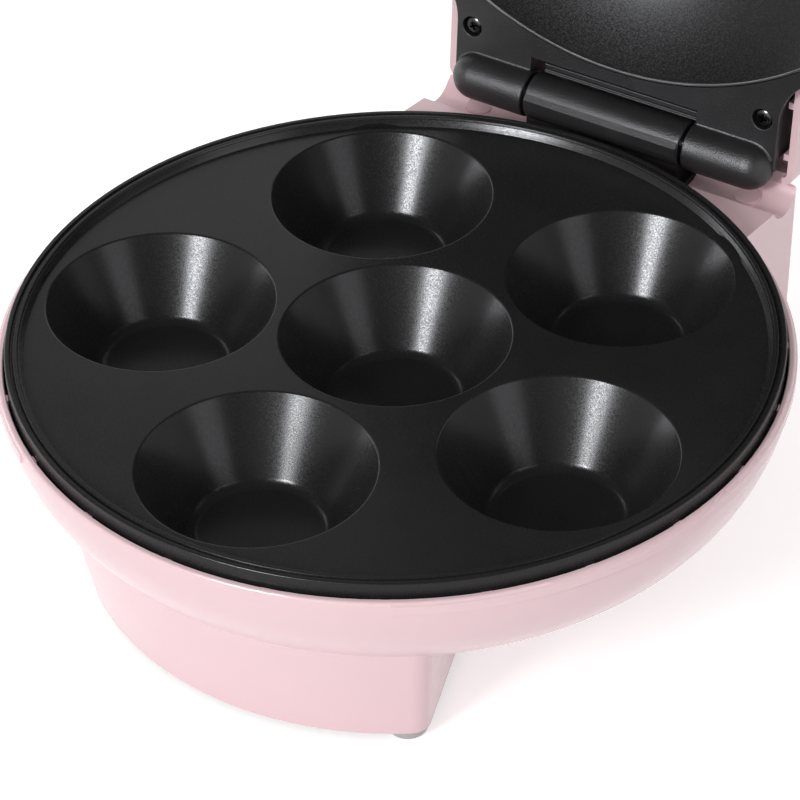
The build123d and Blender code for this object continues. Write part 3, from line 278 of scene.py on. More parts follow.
@dataclass(frozen=True)
class Metal:
    """Bare metal with fine rolling or turning marks and dull patches."""

    name: str
    colour: Colour
    tint: Colour
    roughness: float
    mark: float = 900.0
    mark_depth: float = 0.00001

    def build(self) -> bpy.types.Material:
        """Make the material, whose dull patches are darker and rougher.

        Returns:
            The new material.
        """
        graph = Graph(self.name)
        patches = graph.noise(scale=60.0, detail=4.0)
        marks = graph.noise(self.mark, detail=3.0)
        shader = graph.shader(Metallic=1.0)
        dull = graph.spread(patches, 0.0, 1.0, start=0.35, end=0.65)
        graph.link(graph.mix(dull, self.colour, self.tint), shader.inputs["Base Color"])
        rough = graph.spread(patches, self.roughness * 0.8, self.roughness * 1.25, start=0.3, end=0.7)
        graph.link(rough, shader.inputs["Roughness"])
        graph.link(graph.bump(marks, strength=0.6, depth=self.mark_depth), shader.inputs["Normal"])
        return graph.material


@dataclass(frozen=True)
class Soft:
    """Rubber, sleeving or pressed mica: dull, with a fine irregular skin."""

    name: str
    colour: Colour
    tint: Colour
    roughness: float
    clear: float = 0.0

    def build(self) -> bpy.types.Material:
        """Make the material, which lets some light through where it is partly clear.

        Returns:
            The new material.
        """
        graph = Graph(self.name)
        skin = graph.noise(scale=700.0, detail=3.0, roughness=0.6)
        cloud = graph.spread(graph.noise(scale=110.0, detail=3.0), 0.0, 1.0, start=0.3, end=0.7)
        shader = graph.shader(Transmission_Weight=self.clear, IOR=1.45)
        graph.link(graph.mix(cloud, self.colour, self.tint), shader.inputs["Base Color"])
        graph.link(graph.spread(skin, self.roughness * 0.85, self.roughness * 1.1), shader.inputs["Roughness"])
        graph.link(graph.bump(skin, strength=0.5, depth=0.00003), shader.inputs["Normal"])
        return graph.material


@dataclass(frozen=True)
class Lens:
    """Coloured clear plastic with a ribbed inside that scatters the lamp's light."""

    name: str
    colour: Colour
    deep: Colour

    def build(self) -> bpy.types.Material:
        """Make the material, with small cells that are deeper in colour at their edges.

        Returns:
            The new material.
        """
        graph = Graph(self.name)
        cells = graph.add("ShaderNodeTexVoronoi", Scale=1300.0)
        graph.link(graph.coordinates(), cells.inputs["Vector"])
        shader = graph.shader(Transmission_Weight=0.55, IOR=1.49, Roughness=0.12, Coat_Weight=0.6,
                              Coat_Roughness=0.04)
        depth = graph.spread(cells.outputs["Distance"], 0.0, 1.0, start=0.1, end=0.6)
        graph.link(graph.mix(depth, self.colour, self.deep), shader.inputs["Base Color"])
        graph.link(graph.bump(cells.outputs["Distance"], strength=0.3, depth=0.00006), shader.inputs["Normal"])
        return graph.material


class Finish(Enum):
    """Every finish on the cupcake maker: the record's material slots and the lighter metal on the plate's rim, a
    painted highlight line.
    """

    PINK_SHELL = MouldedPlastic("pink_shell", (0.885, 0.635, 0.670), (0.900, 0.660, 0.695), roughness=0.22,
                                grain=420.0, grain_depth=0.000006, coat=0.15, specular=0.32)
    BLACK_PLASTIC = MouldedPlastic("black_plastic", (0.0125, 0.0125, 0.0135), (0.0160, 0.0160, 0.0172),
                                   roughness=0.38, grain=2300.0, grain_depth=0.00012, specular=0.44)
    COATED_PLATE = NonStick("coated_plate")
    ELEMENT_STEEL = Metal("element_steel", (0.33, 0.30, 0.27), (0.24, 0.21, 0.19), 0.42)
    BRIGHT_SHEET = Metal("bright_sheet", (0.70, 0.70, 0.69), (0.60, 0.60, 0.59), 0.24)
    ZINC_STEEL = Metal("zinc_steel", (0.62, 0.62, 0.59), (0.50, 0.50, 0.47), 0.30)
    # Lighter metal on the plate's rim edge: a painted highlight line along the rim, where the key lamps don't reach.
    BARE_EDGE = Metal("bare_edge", (0.30, 0.30, 0.30), (0.24, 0.24, 0.24), 0.34)
    DARK_STEEL = Metal("dark_steel", (0.050, 0.050, 0.050), (0.032, 0.032, 0.032), 0.24)
    PIN_STEEL = Metal("pin_steel", (0.58, 0.58, 0.58), (0.50, 0.50, 0.50), 0.18)
    THERMOSTAT_METAL = Metal("thermostat_metal", (0.72, 0.72, 0.71), (0.62, 0.62, 0.61), 0.32)
    FUSE_METAL = Metal("fuse_metal", (0.62, 0.61, 0.58), (0.52, 0.51, 0.48), 0.30)
    BRASS = Metal("brass", (0.70, 0.52, 0.24), (0.58, 0.42, 0.18), 0.28)
    MICA = Soft("mica", (0.52, 0.45, 0.32), (0.62, 0.55, 0.41), 0.55)
    WHITE_PLASTIC = MouldedPlastic("white_plastic", (0.78, 0.78, 0.75), (0.82, 0.82, 0.79), roughness=0.42,
                                   grain=900.0, grain_depth=0.00002)
    WIRE_SLEEVE = Soft("wire_sleeve", (0.72, 0.70, 0.64), (0.80, 0.79, 0.74), 0.6)
    LAMP_PLASTIC = Soft("lamp_plastic", (0.72, 0.68, 0.58), (0.78, 0.75, 0.66), 0.4)
    GREY_RUBBER = Soft("grey_rubber", (0.46, 0.45, 0.44), (0.54, 0.53, 0.52), 0.40, clear=0.15)
    BLACK_RUBBER = Soft("black_rubber", (0.025, 0.025, 0.025), (0.035, 0.035, 0.035), 0.5)
    RED_LENS = Lens("red_lens", (0.62, 0.02, 0.02), (0.32, 0.01, 0.01))
    GREEN_LENS = Lens("green_lens", (0.03, 0.42, 0.07), (0.01, 0.22, 0.03))


class Palette:
    """The materials of all finishes, each made once."""

    def __init__(self) -> None:
        """Start with no material made."""
        self._made: dict[Finish, bpy.types.Material] = {}

    def get(self, finish: Finish) -> bpy.types.Material:
        """Give the material of a finish, making it at its first use.

        Args:
            finish: Finish that is wanted.

        Returns:
            Its material.
        """
        if finish not in self._made:
            self._made[finish] = finish.value.build()
        return self._made[finish]

    def dress(self, node: bpy.types.Object, finish: Finish) -> None:
        """Give one object a single finish.

        Args:
            node: Object to dress.
            finish: Finish for all of its faces.
        """
        node.data.materials.clear()
        node.data.materials.append(self.get(finish))
        LOG.info("%s: %s", node.name, finish.value.name)


@dataclass(frozen=True)
class Hinge:
    """The lid's axis, and the turn from the closed lid to the open one."""

    y: float
    z: float
    open_angle: float

    def turn(self) -> Matrix:
        """Give the matrix that opens the lid."""
        pivot = Matrix.Translation(Vector((0.0, self.y, self.z)))
        return pivot @ Matrix.Rotation(-self.open_angle, 4, "X") @ pivot.inverted()


# Outline of a screw's rounded head, in shares of its radius and of its thickness.
HEAD_PROFILE = ((0.0, -1.0), (0.45, -1.0), (0.72, -0.96), (0.90, -0.80), (0.98, -0.5), (1.0, -0.22), (0.985, 0.0))


@dataclass(frozen=True)
class ScrewShape:
    """Sizes of one kind of pan head screw with a cross recess, in millimetres."""

    head_r: float
    head_t: float
    length: float
    shank_r: float = 1.5
    core: float = 0.86
    pitch: float = 0.9
    thread: tuple[float, float, float] = (0.3, 0.72, 1.1)
    point: float = 0.6
    sides: int = 40

    def mesh(self, name: str) -> bpy.types.Mesh:
        """Make the screw with its seat at the origin and its head below it.

        Args:
            name: Name of the new mesh.

        Returns:
            The screw's mesh, in metres.
        """
        core_r = self.shank_r * self.core
        root, crest, end = self.thread
        profile = [(r * self.head_r, z * self.head_t) for r, z in HEAD_PROFILE] + [(self.shank_r, 0.0)]
        for i in range(int(self.length / self.pitch)):
            z = i * self.pitch
            profile += [(core_r, z + root), (self.shank_r, z + crest), (core_r, z + end)]
        profile += [(core_r, self.length - self.point), (self.shank_r / 2, self.length), (0.0, self.length)]
        body = lathe(name, profile, self.sides)
        cutter = self._recess()
        cut = cut_out(body, cutter)
        for extra in (body, cutter):
            bpy.data.objects.remove(extra)
        return cut

    def _recess(self) -> bpy.types.Object:
        """Make the tapered cross that cuts the drive recess.

        Returns:
            The cross, which starts just clear of the head.
        """
        bm = bmesh.new()
        arm, half, depth = 0.50 * self.head_r, 0.115 * self.head_r, 0.72 * self.head_t
        clear, taper = 0.2, 0.62
        for angle in (0.0, math.pi / 2):
            verts = []
            for z, share in ((-self.head_t - clear, 1.0), (-self.head_t + depth, taper)):
                for x, y in ((-arm, -half), (arm, -half), (arm, half), (-arm, half)):
                    spot = Matrix.Rotation(angle, 3, "Z") @ Vector((x * share, y * share, z))
                    verts.append(bm.verts.new(spot * MM))
            low, high = verts[:4], verts[4:]
            bm.faces.new(low[::-1])
            bm.faces.new(high)
            for i in range(4):
                j = (i + 1) % 4
                bm.faces.new((low[i], low[j], high[j], high[i]))
        mesh = bpy.data.meshes.new("recess")
        bm.to_mesh(mesh)
        bm.free()
        item = bpy.data.objects.new("recess", mesh)
        bpy.context.scene.collection.objects.link(item)
        return item


def lathe(name: str, profile: list[tuple[float, float]], steps: int) -> bpy.types.Object:
    """Turn a profile about the upright axis.

    Args:
        name: Name of the object.
        profile: Radius and height pairs in millimetres, from axis to axis.
        steps: Sides of each ring.

    Returns:
        The new object, linked to the scene.
    """
    bm = bmesh.new()
    rings = []
    for radius, height in profile:
        if radius < ON_AXIS_MM:
            rings.append([bm.verts.new((0.0, 0.0, height * MM))])
            continue
        ring = []
        for i in range(steps):
            angle = 2 * math.pi * i / steps
            ring.append(bm.verts.new(Vector((radius * math.cos(angle), radius * math.sin(angle), height)) * MM))
        rings.append(ring)
    for low, high in zip(rings, rings[1:]):
        for i in range(steps):
            j = (i + 1) % steps
            if len(low) == 1:
                bm.faces.new((low[0], high[j], high[i]))
            elif len(high) == 1:
                bm.faces.new((low[i], low[j], high[0]))
            else:
                bm.faces.new((low[i], low[j], high[j], high[i]))
    bmesh.ops.recalc_face_normals(bm, faces=bm.faces)
    mesh = bpy.data.meshes.new(name)
    bm.to_mesh(mesh)
    bm.free()
    item = bpy.data.objects.new(name, mesh)
    bpy.context.scene.collection.objects.link(item)
    return item


def cut_out(body: bpy.types.Object, tool: bpy.types.Object) -> bpy.types.Mesh:
    """Cut one object out of another.

    Args:
        body: Object that is cut.
        tool: Object that cuts it.

    Returns:
        A new mesh with what is left of the body.
    """
    modifier = body.modifiers.new("cut", "BOOLEAN")
    modifier.operation = "DIFFERENCE"
    modifier.object = tool
    modifier.solver = "EXACT"
    modifier.use_self = True
    evaluated = body.evaluated_get(bpy.context.evaluated_depsgraph_get())
    mesh = bpy.data.meshes.new_from_object(evaluated)
    body.modifiers.remove(modifier)
    return mesh


@dataclass(frozen=True)
class ScrewSet:
    """Like screws of one body, set out on their places."""

    name: str
    shape: ScrewShape
    finish: Finish
    body: Body
    seats: tuple[Vector, ...]
    turns: tuple[Matrix, ...]

    def build(self, palette: Palette) -> bpy.types.Object:
        """Set out the screws with a Geometry Nodes tree and make them one plain mesh.

        Args:
            palette: Source of the finish.

        Returns:
            The finished piece, which stands for the CAD node of the same name.
        """
        screw = bpy.data.objects.new(f"{self.name}_one", self.shape.mesh(f"{self.name}_one"))
        bpy.context.scene.collection.objects.link(screw)
        points = bpy.data.meshes.new(f"{self.name}_points")
        points.from_pydata([tuple(s) for s in self.seats], [], [])
        turn = points.attributes.new("turn", "FLOAT_VECTOR", "POINT")
        for i, matrix in enumerate(self.turns):
            turn.data[i].vector = tuple(matrix.to_euler())
        piece = bpy.data.objects.new(f"{self.name}_detail", points)
        bpy.context.scene.collection.objects.link(piece)
        modifier = piece.modifiers.new("set out", "NODES")
        modifier.node_group = self._tree(screw, palette.get(self.finish))
        modifier[modifier.node_group.interface.items_tree["Size"].identifier] = 1.0
        plain = bpy.data.meshes.new_from_object(piece.evaluated_get(bpy.context.evaluated_depsgraph_get()))
        piece.modifiers.clear()
        piece.data = plain
        bpy.data.objects.remove(screw)
        shade(piece, 32.0)
        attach(piece, self.body.value)
        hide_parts(self.name)
        LOG.info("%s: %d screws", piece.name, len(self.seats))
        return piece

    def _tree(self, screw: bpy.types.Object, material: bpy.types.Material) -> bpy.types.NodeTree:
        """Build the tree that puts the screw on each point.

        Args:
            screw: Object with the one screw.
            material: Material of all the screws.

        Returns:
            The tree, whose Size input scales the screws.
        """
        tree = bpy.data.node_groups.new(f"{self.name}_tree", "GeometryNodeTree")
        tree.interface.new_socket("Geometry", in_out="INPUT", socket_type="NodeSocketGeometry")
        tree.interface.new_socket("Size", in_out="INPUT", socket_type="NodeSocketFloat")
        tree.interface.new_socket("Geometry", in_out="OUTPUT", socket_type="NodeSocketGeometry")
        nodes, links = tree.nodes, tree.links
        entry, leave = nodes.new("NodeGroupInput"), nodes.new("NodeGroupOutput")
        info = nodes.new("GeometryNodeObjectInfo")
        info.inputs["Object"].default_value = screw
        turn = nodes.new("GeometryNodeInputNamedAttribute")
        turn.data_type = "FLOAT_VECTOR"
        turn.inputs["Name"].default_value = "turn"
        place = nodes.new("GeometryNodeInstanceOnPoints")
        real = nodes.new("GeometryNodeRealizeInstances")
        paint = nodes.new("GeometryNodeSetMaterial")
        paint.inputs["Material"].default_value = material
        links.new(entry.outputs["Geometry"], place.inputs["Points"])
        links.new(info.outputs["Geometry"], place.inputs["Instance"])
        links.new(turn.outputs["Attribute"], place.inputs["Rotation"])
        links.new(entry.outputs["Size"], place.inputs["Scale"])
        links.new(place.outputs["Instances"], real.inputs["Geometry"])
        links.new(real.outputs["Geometry"], paint.inputs["Geometry"])
        links.new(paint.outputs["Geometry"], leave.inputs["Geometry"])
        return tree


def shade(item: bpy.types.Object, angle: float) -> None:
    """Shade smooth, with the sharper edges left sharp.

    Args:
        item: Object to shade.
        angle: Least turn of a sharp edge, in degrees.
    """
    mesh = item.data
    mesh.polygons.foreach_set("use_smooth", [True] * len(mesh.polygons))
    mesh.set_sharp_from_angle(angle=math.radians(angle))
    mesh.update()


def spun(count: int, step: float) -> tuple[Matrix, ...]:
    """Give each screw its own turn about its axis, in degrees, so that no two slots line up."""
    return tuple(Matrix.Rotation(math.radians(step * (i + 1)), 3, "Z") for i in range(count))


@dataclass
class BaseUnit:
    """The housing, its cover and feet, and the hot gear under the cooking plate."""

    palette: Palette
    plate_y: float
    cover_z: float = 5.8
    cover_places: tuple[tuple[float, float], ...] = ((40, -58), (-40, -58), (47, 106), (-47, 106))
    pocket_floor_z: float = 44.8
    knuckle_places: tuple[tuple[float, float], ...] = ((18, 126.5), (-18, 126.5))
    bowl_floor_z: float = 27.6
    post_ring_r: float = 45.0
    post_angles: tuple[float, ...] = (-126.0, -54.0, 90.0)

    def dress(self, nodes: dict[str, bpy.types.Object]) -> None:
        """Give each of the base's nodes its finish.

        Args:
            nodes: CAD nodes by name.
        """
        finishes = {
            "lower_housing": Finish.PINK_SHELL,
            "trough_plugs": Finish.PINK_SHELL,
            "bottom_cover": Finish.BLACK_PLASTIC,
            "rubber_feet": Finish.GREY_RUBBER,
            "lower_plate": Finish.COATED_PLATE,
            "centre_knuckle": Finish.BLACK_PLASTIC,
            "cord_gland": Finish.BLACK_RUBBER,
            "lower_heater": Finish.ELEMENT_STEEL,
            "lower_heater_clips": Finish.ZINC_STEEL,
            "lower_reflector": Finish.BRIGHT_SHEET,
            "thermostat": Finish.THERMOSTAT_METAL,
            "terminal_block": Finish.WHITE_PLASTIC,
            "terminal_screws": Finish.BRASS,
            "base_wiring": Finish.WIRE_SLEEVE,
            "plate_washers": Finish.MICA,
            "earth_tag": Finish.BRASS,
        }
        for name, finish in finishes.items():
            self.palette.dress(nodes[name], finish)

    def build(self) -> None:
        """Make the base's detailed screws."""
        posts = tuple((self.post_ring_r * math.cos(math.radians(a)), self.post_ring_r * math.sin(math.radians(a)))
                      for a in self.post_angles)
        self._screws("bottom_cover_screws", 14.0, Finish.DARK_STEEL, self.cover_places, self.cover_z, 23.0)
        self._screws("knuckle_screws", 12.0, Finish.DARK_STEEL, self.knuckle_places, self.pocket_floor_z, 41.0)
        self._screws("plate_screws", 30.0, Finish.ZINC_STEEL, posts, self.bowl_floor_z, 57.0)

    def _screws(self, name: str, length: float, finish: Finish, places: tuple[tuple[float, float], ...],
                z: float, step: float) -> None:
        """Make one set of screws whose heads face down.

        Args:
            name: CAD node that the set stands for.
            length: Length of the shank, in millimetres.
            finish: Finish of the screws.
            places: Plan positions from the plate's axis, in millimetres.
            z: Height of the seats, in millimetres.
            step: Turn from one screw's slot to the next one's, in degrees.
        """
        shape = ScrewShape(head_r=3.4, head_t=2.1, length=length)
        seats = tuple(Vector((x, y + self.plate_y, z)) * MM for x, y in places)
        ScrewSet(name, shape, finish, Body.BASE, seats, spun(len(seats), step)).build(self.palette)


@dataclass(frozen=True)
class BossRing:
    """Screw bosses on one ring behind the dome, in millimetres and degrees."""

    radius: float
    angles: tuple[float, ...]
    top: float
    depth: float
    boss_r: float = 4.2
    hole_r: float = 1.6
    sides: int = 40


@dataclass
class DomedPlate:
    """The upper plate, whose hollow is one clean face; its sizes are in millimetres, on the closed lid."""

    palette: Palette
    hinge: Hinge
    plate_y: float
    rim_r: float = 110.4
    rim_z: float = 76.2
    rise: float = 34.0
    wall: float = 2.2
    flange_t: float = 1.8
    inset: float = 2.6
    ring_inner_r: float = 52.0
    ring_outer_r: float = 72.0
    ring_z: float = 105.6
    inner_edge: tuple[tuple[float, float], ...] = ((-0.32, 0.22), (-0.14, 0.08), (0.06, 0.01))
    outer_edge: tuple[tuple[float, float], ...] = ((0.55, 0.0), (0.74, 0.05), (0.88, 0.14), (0.96, 0.27), (1.0, 0.45))
    # Margin past the rim's outer and lower edge. Faces beyond it take the lighter metal of the painted rim highlight.
    bare_edge: float = 0.1
    bosses: tuple[BossRing, ...] = (BossRing(104.0, (-135.0, -45.0, 45.0, 135.0), top=86.1, depth=3.0),
                                    BossRing(45.0, (-126.0, -54.0, 90.0), top=118.9, depth=7.0))
    face_steps: int = 96
    sides: int = 240
    pole_gap: float = 1.0

    def face_z(self, radius: float, lift: float = 0.0) -> float:
        """Give the height of the hollow's face, or of a face lifted off it, in millimetres."""
        ball = (self.rim_r ** 2 + self.rise ** 2) / (2 * self.rise)
        return self.rim_z + self.rise - ball + math.sqrt((ball + lift) ** 2 - radius ** 2)

    def shell(self) -> bpy.types.Object:
        """Turn the dome with its flange and the ring that carries the heating element.

        Returns:
            The shell, upright as on the closed lid.
        """
        hollow = [(r, self.face_z(r)) for r in (self.rim_r * i / self.face_steps for i in range(self.face_steps))]
        edge = [(self.rim_r + r, self.rim_z + z) for r, z in self.inner_edge + self.outer_edge]
        foot_r, flange_z = self.rim_r - self.inset, self.rim_z + self.flange_t
        flange = [(self.rim_r + self.outer_edge[-1][0], flange_z), (foot_r, flange_z)]
        radii = [foot_r - self.inset * i for i in range(int(foot_r / self.inset) + 1)]
        outside = [(r, self.face_z(r, self.wall)) for r in radii if r > self.ring_outer_r + self.wall / 4]
        inside = [(r, self.face_z(r, self.wall)) for r in radii
                  if self.pole_gap < r < self.ring_inner_r - self.wall / 4]
        ring = [(self.ring_outer_r, self.face_z(self.ring_outer_r, self.wall)), (self.ring_outer_r, self.ring_z),
                (self.ring_inner_r, self.ring_z), (self.ring_inner_r, self.face_z(self.ring_inner_r, self.wall))]
        top = [(0.0, self.face_z(0.0, self.wall))]
        return lathe("upper_plate_shell", hollow + edge + flange + outside + ring + inside + top, self.sides)

    def boss(self, ring: BossRing, angle: float) -> bpy.types.Object:
        """Turn one screw boss whose foot follows the dome.

        Args:
            ring: Sizes of the boss.
            angle: Direction from the plate's axis in degrees.

        Returns:
            The boss.
        """
        floor = self.face_z(ring.radius)
        profile = [(0.0, floor), (ring.boss_r, floor), (ring.boss_r, ring.top), (ring.hole_r, ring.top),
                   (ring.hole_r, ring.top - ring.depth), (0.0, ring.top - ring.depth)]
        item = lathe("boss", profile, ring.sides)
        a = math.radians(angle)
        for vertex in item.data.vertices:
            foot = abs(vertex.co.z - floor * MM) < SEAM_M
            vertex.co += Vector((ring.radius * math.cos(a), ring.radius * math.sin(a), 0.0)) * MM
            if foot:
                vertex.co.z = self.face_z(vertex.co.xy.length / MM, self.wall / 2) * MM
        return item

    def build(self) -> bpy.types.Object:
        """Make the plate in one plain mesh, turned with the open lid.

        Returns:
            The finished piece, which stands for the CAD node.
        """
        parts = [self.shell()] + [self.boss(ring, angle) for ring in self.bosses for angle in ring.angles]
        bm = bmesh.new()
        for part in parts:
            bm.from_mesh(part.data)
            bpy.data.objects.remove(part)
        # Faces on the rim's lower outer edge take the lighter metal: a painted highlight line along the rim.
        edge_r, edge_z = (self.rim_r + self.bare_edge) * MM, (self.rim_z + self.bare_edge) * MM
        turned = [middle.xy.length > edge_r and middle.z < edge_z
                  for middle in (face.calc_center_median() for face in bm.faces)]
        bm.transform(self.hinge.turn() @ Matrix.Translation(Vector((0.0, self.plate_y, 0.0)) * MM))
        mesh = bpy.data.meshes.new("upper_plate_detail")
        bm.to_mesh(mesh)
        bm.free()
        piece = bpy.data.objects.new("upper_plate_detail", mesh)
        bpy.context.scene.collection.objects.link(piece)
        mesh.materials.append(self.palette.get(Finish.COATED_PLATE))
        mesh.materials.append(self.palette.get(Finish.BARE_EDGE))
        for polygon, highlight_face in zip(mesh.polygons, turned):
            polygon.material_index = int(highlight_face)
        shade(piece, 30.0)
        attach(piece, Body.LID.value)
        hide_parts("upper_plate")
        LOG.info("%s: %d faces", piece.name, len(mesh.polygons))
        return piece


def welded(node: bpy.types.Object, name: str) -> bpy.types.Object:
    """Copy a CAD node with its seams joined and its normals new, so that its crown shades as one face.

    Args:
        node: CAD node to copy.
        name: Name of the copy.

    Returns:
        The copy, which lies where the node lies.
    """
    bm = bmesh.new()
    bm.from_mesh(node.data)
    bmesh.ops.remove_doubles(bm, verts=bm.verts, dist=SEAM_M)
    mesh = node.data.copy()
    bm.to_mesh(mesh)
    bm.free()
    mesh.attributes.remove(mesh.attributes["custom_normal"])
    item = bpy.data.objects.new(name, mesh)
    bpy.context.scene.collection.objects.link(item)
    shade(item, 30.0)
    LOG.info("%s: %d faces", name, len(mesh.polygons))
    return item


@dataclass
class LidUnit:
    """The lid's shell, frame and domed plate, its handle and the gear between them."""

    palette: Palette
    hinge: Hinge
    plate_y: float
    frame_screw_z: float = 79.3
    frame_places: tuple[tuple[float, float], ...] = ((53.2, 111.6), (-53.2, 111.6))
    handle_screw_z: float = 73.6
    handle_places: tuple[tuple[float, float], ...] = ((34.0, -126.5), (-34.0, -126.5))

    def dress(self, nodes: dict[str, bpy.types.Object]) -> None:
        """Give each of the lid's nodes its finish.

        Args:
            nodes: CAD nodes by name.
        """
        finishes = {
            "lid_shell": Finish.PINK_SHELL,
            "lid_frame": Finish.BLACK_PLASTIC,
            "hinge_strip": Finish.BLACK_PLASTIC,
            "hinge_pins": Finish.PIN_STEEL,
            "upper_plate_screws": Finish.ZINC_STEEL,
            "upper_heater": Finish.ELEMENT_STEEL,
            "upper_heater_clips": Finish.ZINC_STEEL,
            "upper_reflector": Finish.BRIGHT_SHEET,
            "thermal_fuse": Finish.FUSE_METAL,
            "lid_wiring": Finish.WIRE_SLEEVE,
            "handle_underside": Finish.BLACK_PLASTIC,
            "power_lens": Finish.RED_LENS,
            "ready_lens": Finish.GREEN_LENS,
            "neon_lamps": Finish.LAMP_PLASTIC,
        }
        for name, finish in finishes.items():
            self.palette.dress(nodes[name], finish)

    def build(self, nodes: dict[str, bpy.types.Object]) -> bpy.types.Object:
        """Make the lid's detailed screws, its shell and its plate.

        Args:
            nodes: CAD nodes by name.

        Returns:
            The domed plate.
        """
        shell = welded(nodes["lid_shell"], "lid_shell_detail")
        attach(shell, Body.LID.value)
        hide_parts("lid_shell")
        self._screws("frame_screws", ScrewShape(head_r=3.1, head_t=2.1, length=11.0), self.frame_places,
                     self.frame_screw_z, (20.0, 65.0))
        self._screws("handle_screws", ScrewShape(head_r=2.8, head_t=2.1, length=10.0), self.handle_places,
                     self.handle_screw_z, (12.0, 50.0))
        return DomedPlate(self.palette, self.hinge, self.plate_y).build()

    def _screws(self, name: str, shape: ScrewShape, places: tuple[tuple[float, float], ...], z: float,
                angles: tuple[float, ...]) -> None:
        """Make one set of screws whose heads face down on the closed lid.

        Args:
            name: CAD node that the set stands for.
            shape: Sizes of the screw.
            places: Plan positions from the plate's axis, in millimetres.
            z: Height of the seats on the closed lid, in millimetres.
            angles: Turn of each screw's slot, in degrees.
        """
        turn = self.hinge.turn()
        seats = tuple(turn @ (Vector((x, y + self.plate_y, z)) * MM) for x, y in places)
        turns = tuple(turn.to_3x3() @ Matrix.Rotation(math.radians(a), 3, "Z") for a in angles)
        ScrewSet(name, shape, Finish.DARK_STEEL, Body.LID, seats, turns).build(self.palette)


def seen_ray(tree: bpy.types.NodeTree) -> bpy.types.NodeSocket:
    """Tell rays that show the background, straight or in a reflection, from rays that light a surface.

    Args:
        tree: Node tree that needs to know.

    Returns:
        A socket with 1 for camera, glossy and transmission rays, else 0.
    """
    path = tree.nodes.new("ShaderNodeLightPath")
    shown = path.outputs["Is Camera Ray"]
    for ray in ("Is Glossy Ray", "Is Transmission Ray"):
        either = tree.nodes.new("ShaderNodeMath")
        either.operation = "MAXIMUM"
        tree.links.new(shown, either.inputs[0])
        tree.links.new(path.outputs[ray], either.inputs[1])
        shown = either.outputs["Value"]
    return shown


def outward(azimuth: float, elevation: float) -> Vector:
    """Give the direction away from the object, from degrees right of the front and above the horizon."""
    a, e = math.radians(azimuth), math.radians(elevation)
    return Vector((math.sin(a) * math.cos(e), -math.cos(a) * math.cos(e), math.sin(e)))


def sheet(name: str, half: float, near: float, far: float, z: float,
          order: tuple[int, ...]) -> bpy.types.Object:
    """Lay one flat sheet of the studio.

    Args:
        name: Name of the sheet.
        half: Half of its width, in metres.
        near: Place of its front edge.
        far: Place of its rear edge.
        z: Height of the sheet.
        order: Order of its corners, which settles the side that it faces.

    Returns:
        The sheet, without a material.
    """
    mesh = bpy.data.meshes.new(name)
    mesh.from_pydata([(-half, near, z), (half, near, z), (half, far, z), (-half, far, z)], [], [order])
    item = bpy.data.objects.new(name, mesh)
    bpy.context.scene.collection.objects.link(item)
    return item


class Reach(Enum):
    """What a lamp's panel does to the object."""

    LIGHTS = "lights"
    REFLECTS = "reflects"


@dataclass(frozen=True)
class SoftPanel:
    """One soft lamp that faces the object: its direction in degrees, its sizes in metres, its power in watts."""

    name: str
    azimuth: float
    elevation: float
    distance: float
    width: float
    height: float
    power: float
    reach: Reach = Reach.LIGHTS

    def hang(self, target: Vector) -> bpy.types.Object:
        """Hang the lamp.

        Args:
            target: Point that it faces.

        Returns:
            The lamp.
        """
        lights = self.reach is Reach.LIGHTS
        data = bpy.data.lights.new(self.name, "AREA")
        data.shape = "RECTANGLE"
        data.size, data.size_y, data.energy = self.width, self.height, self.power
        data.color = WHITE if lights else PANEL_WHITE
        lamp = bpy.data.objects.new(self.name, data)
        away = outward(self.azimuth, self.elevation)
        lamp.location = target + away * self.distance
        lamp.rotation_mode = "QUATERNION"
        lamp.rotation_quaternion = away.to_track_quat("Z", "Y")
        lamp.visible_diffuse = lights
        bpy.context.scene.collection.objects.link(lamp)
        LOG.info("%s: %.1f W", self.name, self.power)
        return lamp


class Flag(Enum):
    """How a flag on a stand shades a lamp from one piece."""

    OFF_THE_PIECE = "EXCLUDE"
    ONLY_THE_PIECE = "INCLUDE"

    def put_up(self, lamp: bpy.types.Object, piece: bpy.types.Object) -> None:
        """Put the flag up before a lamp.

        Args:
            lamp: Lamp to shade.
            piece: Piece that the flag concerns.
        """
        lit = bpy.data.collections.new(f"{lamp.name}_lit")
        lit.objects.link(piece)
        lit.collection_objects[0].light_linking.link_state = self.value
        lamp.light_linking.receiver_collection = lit


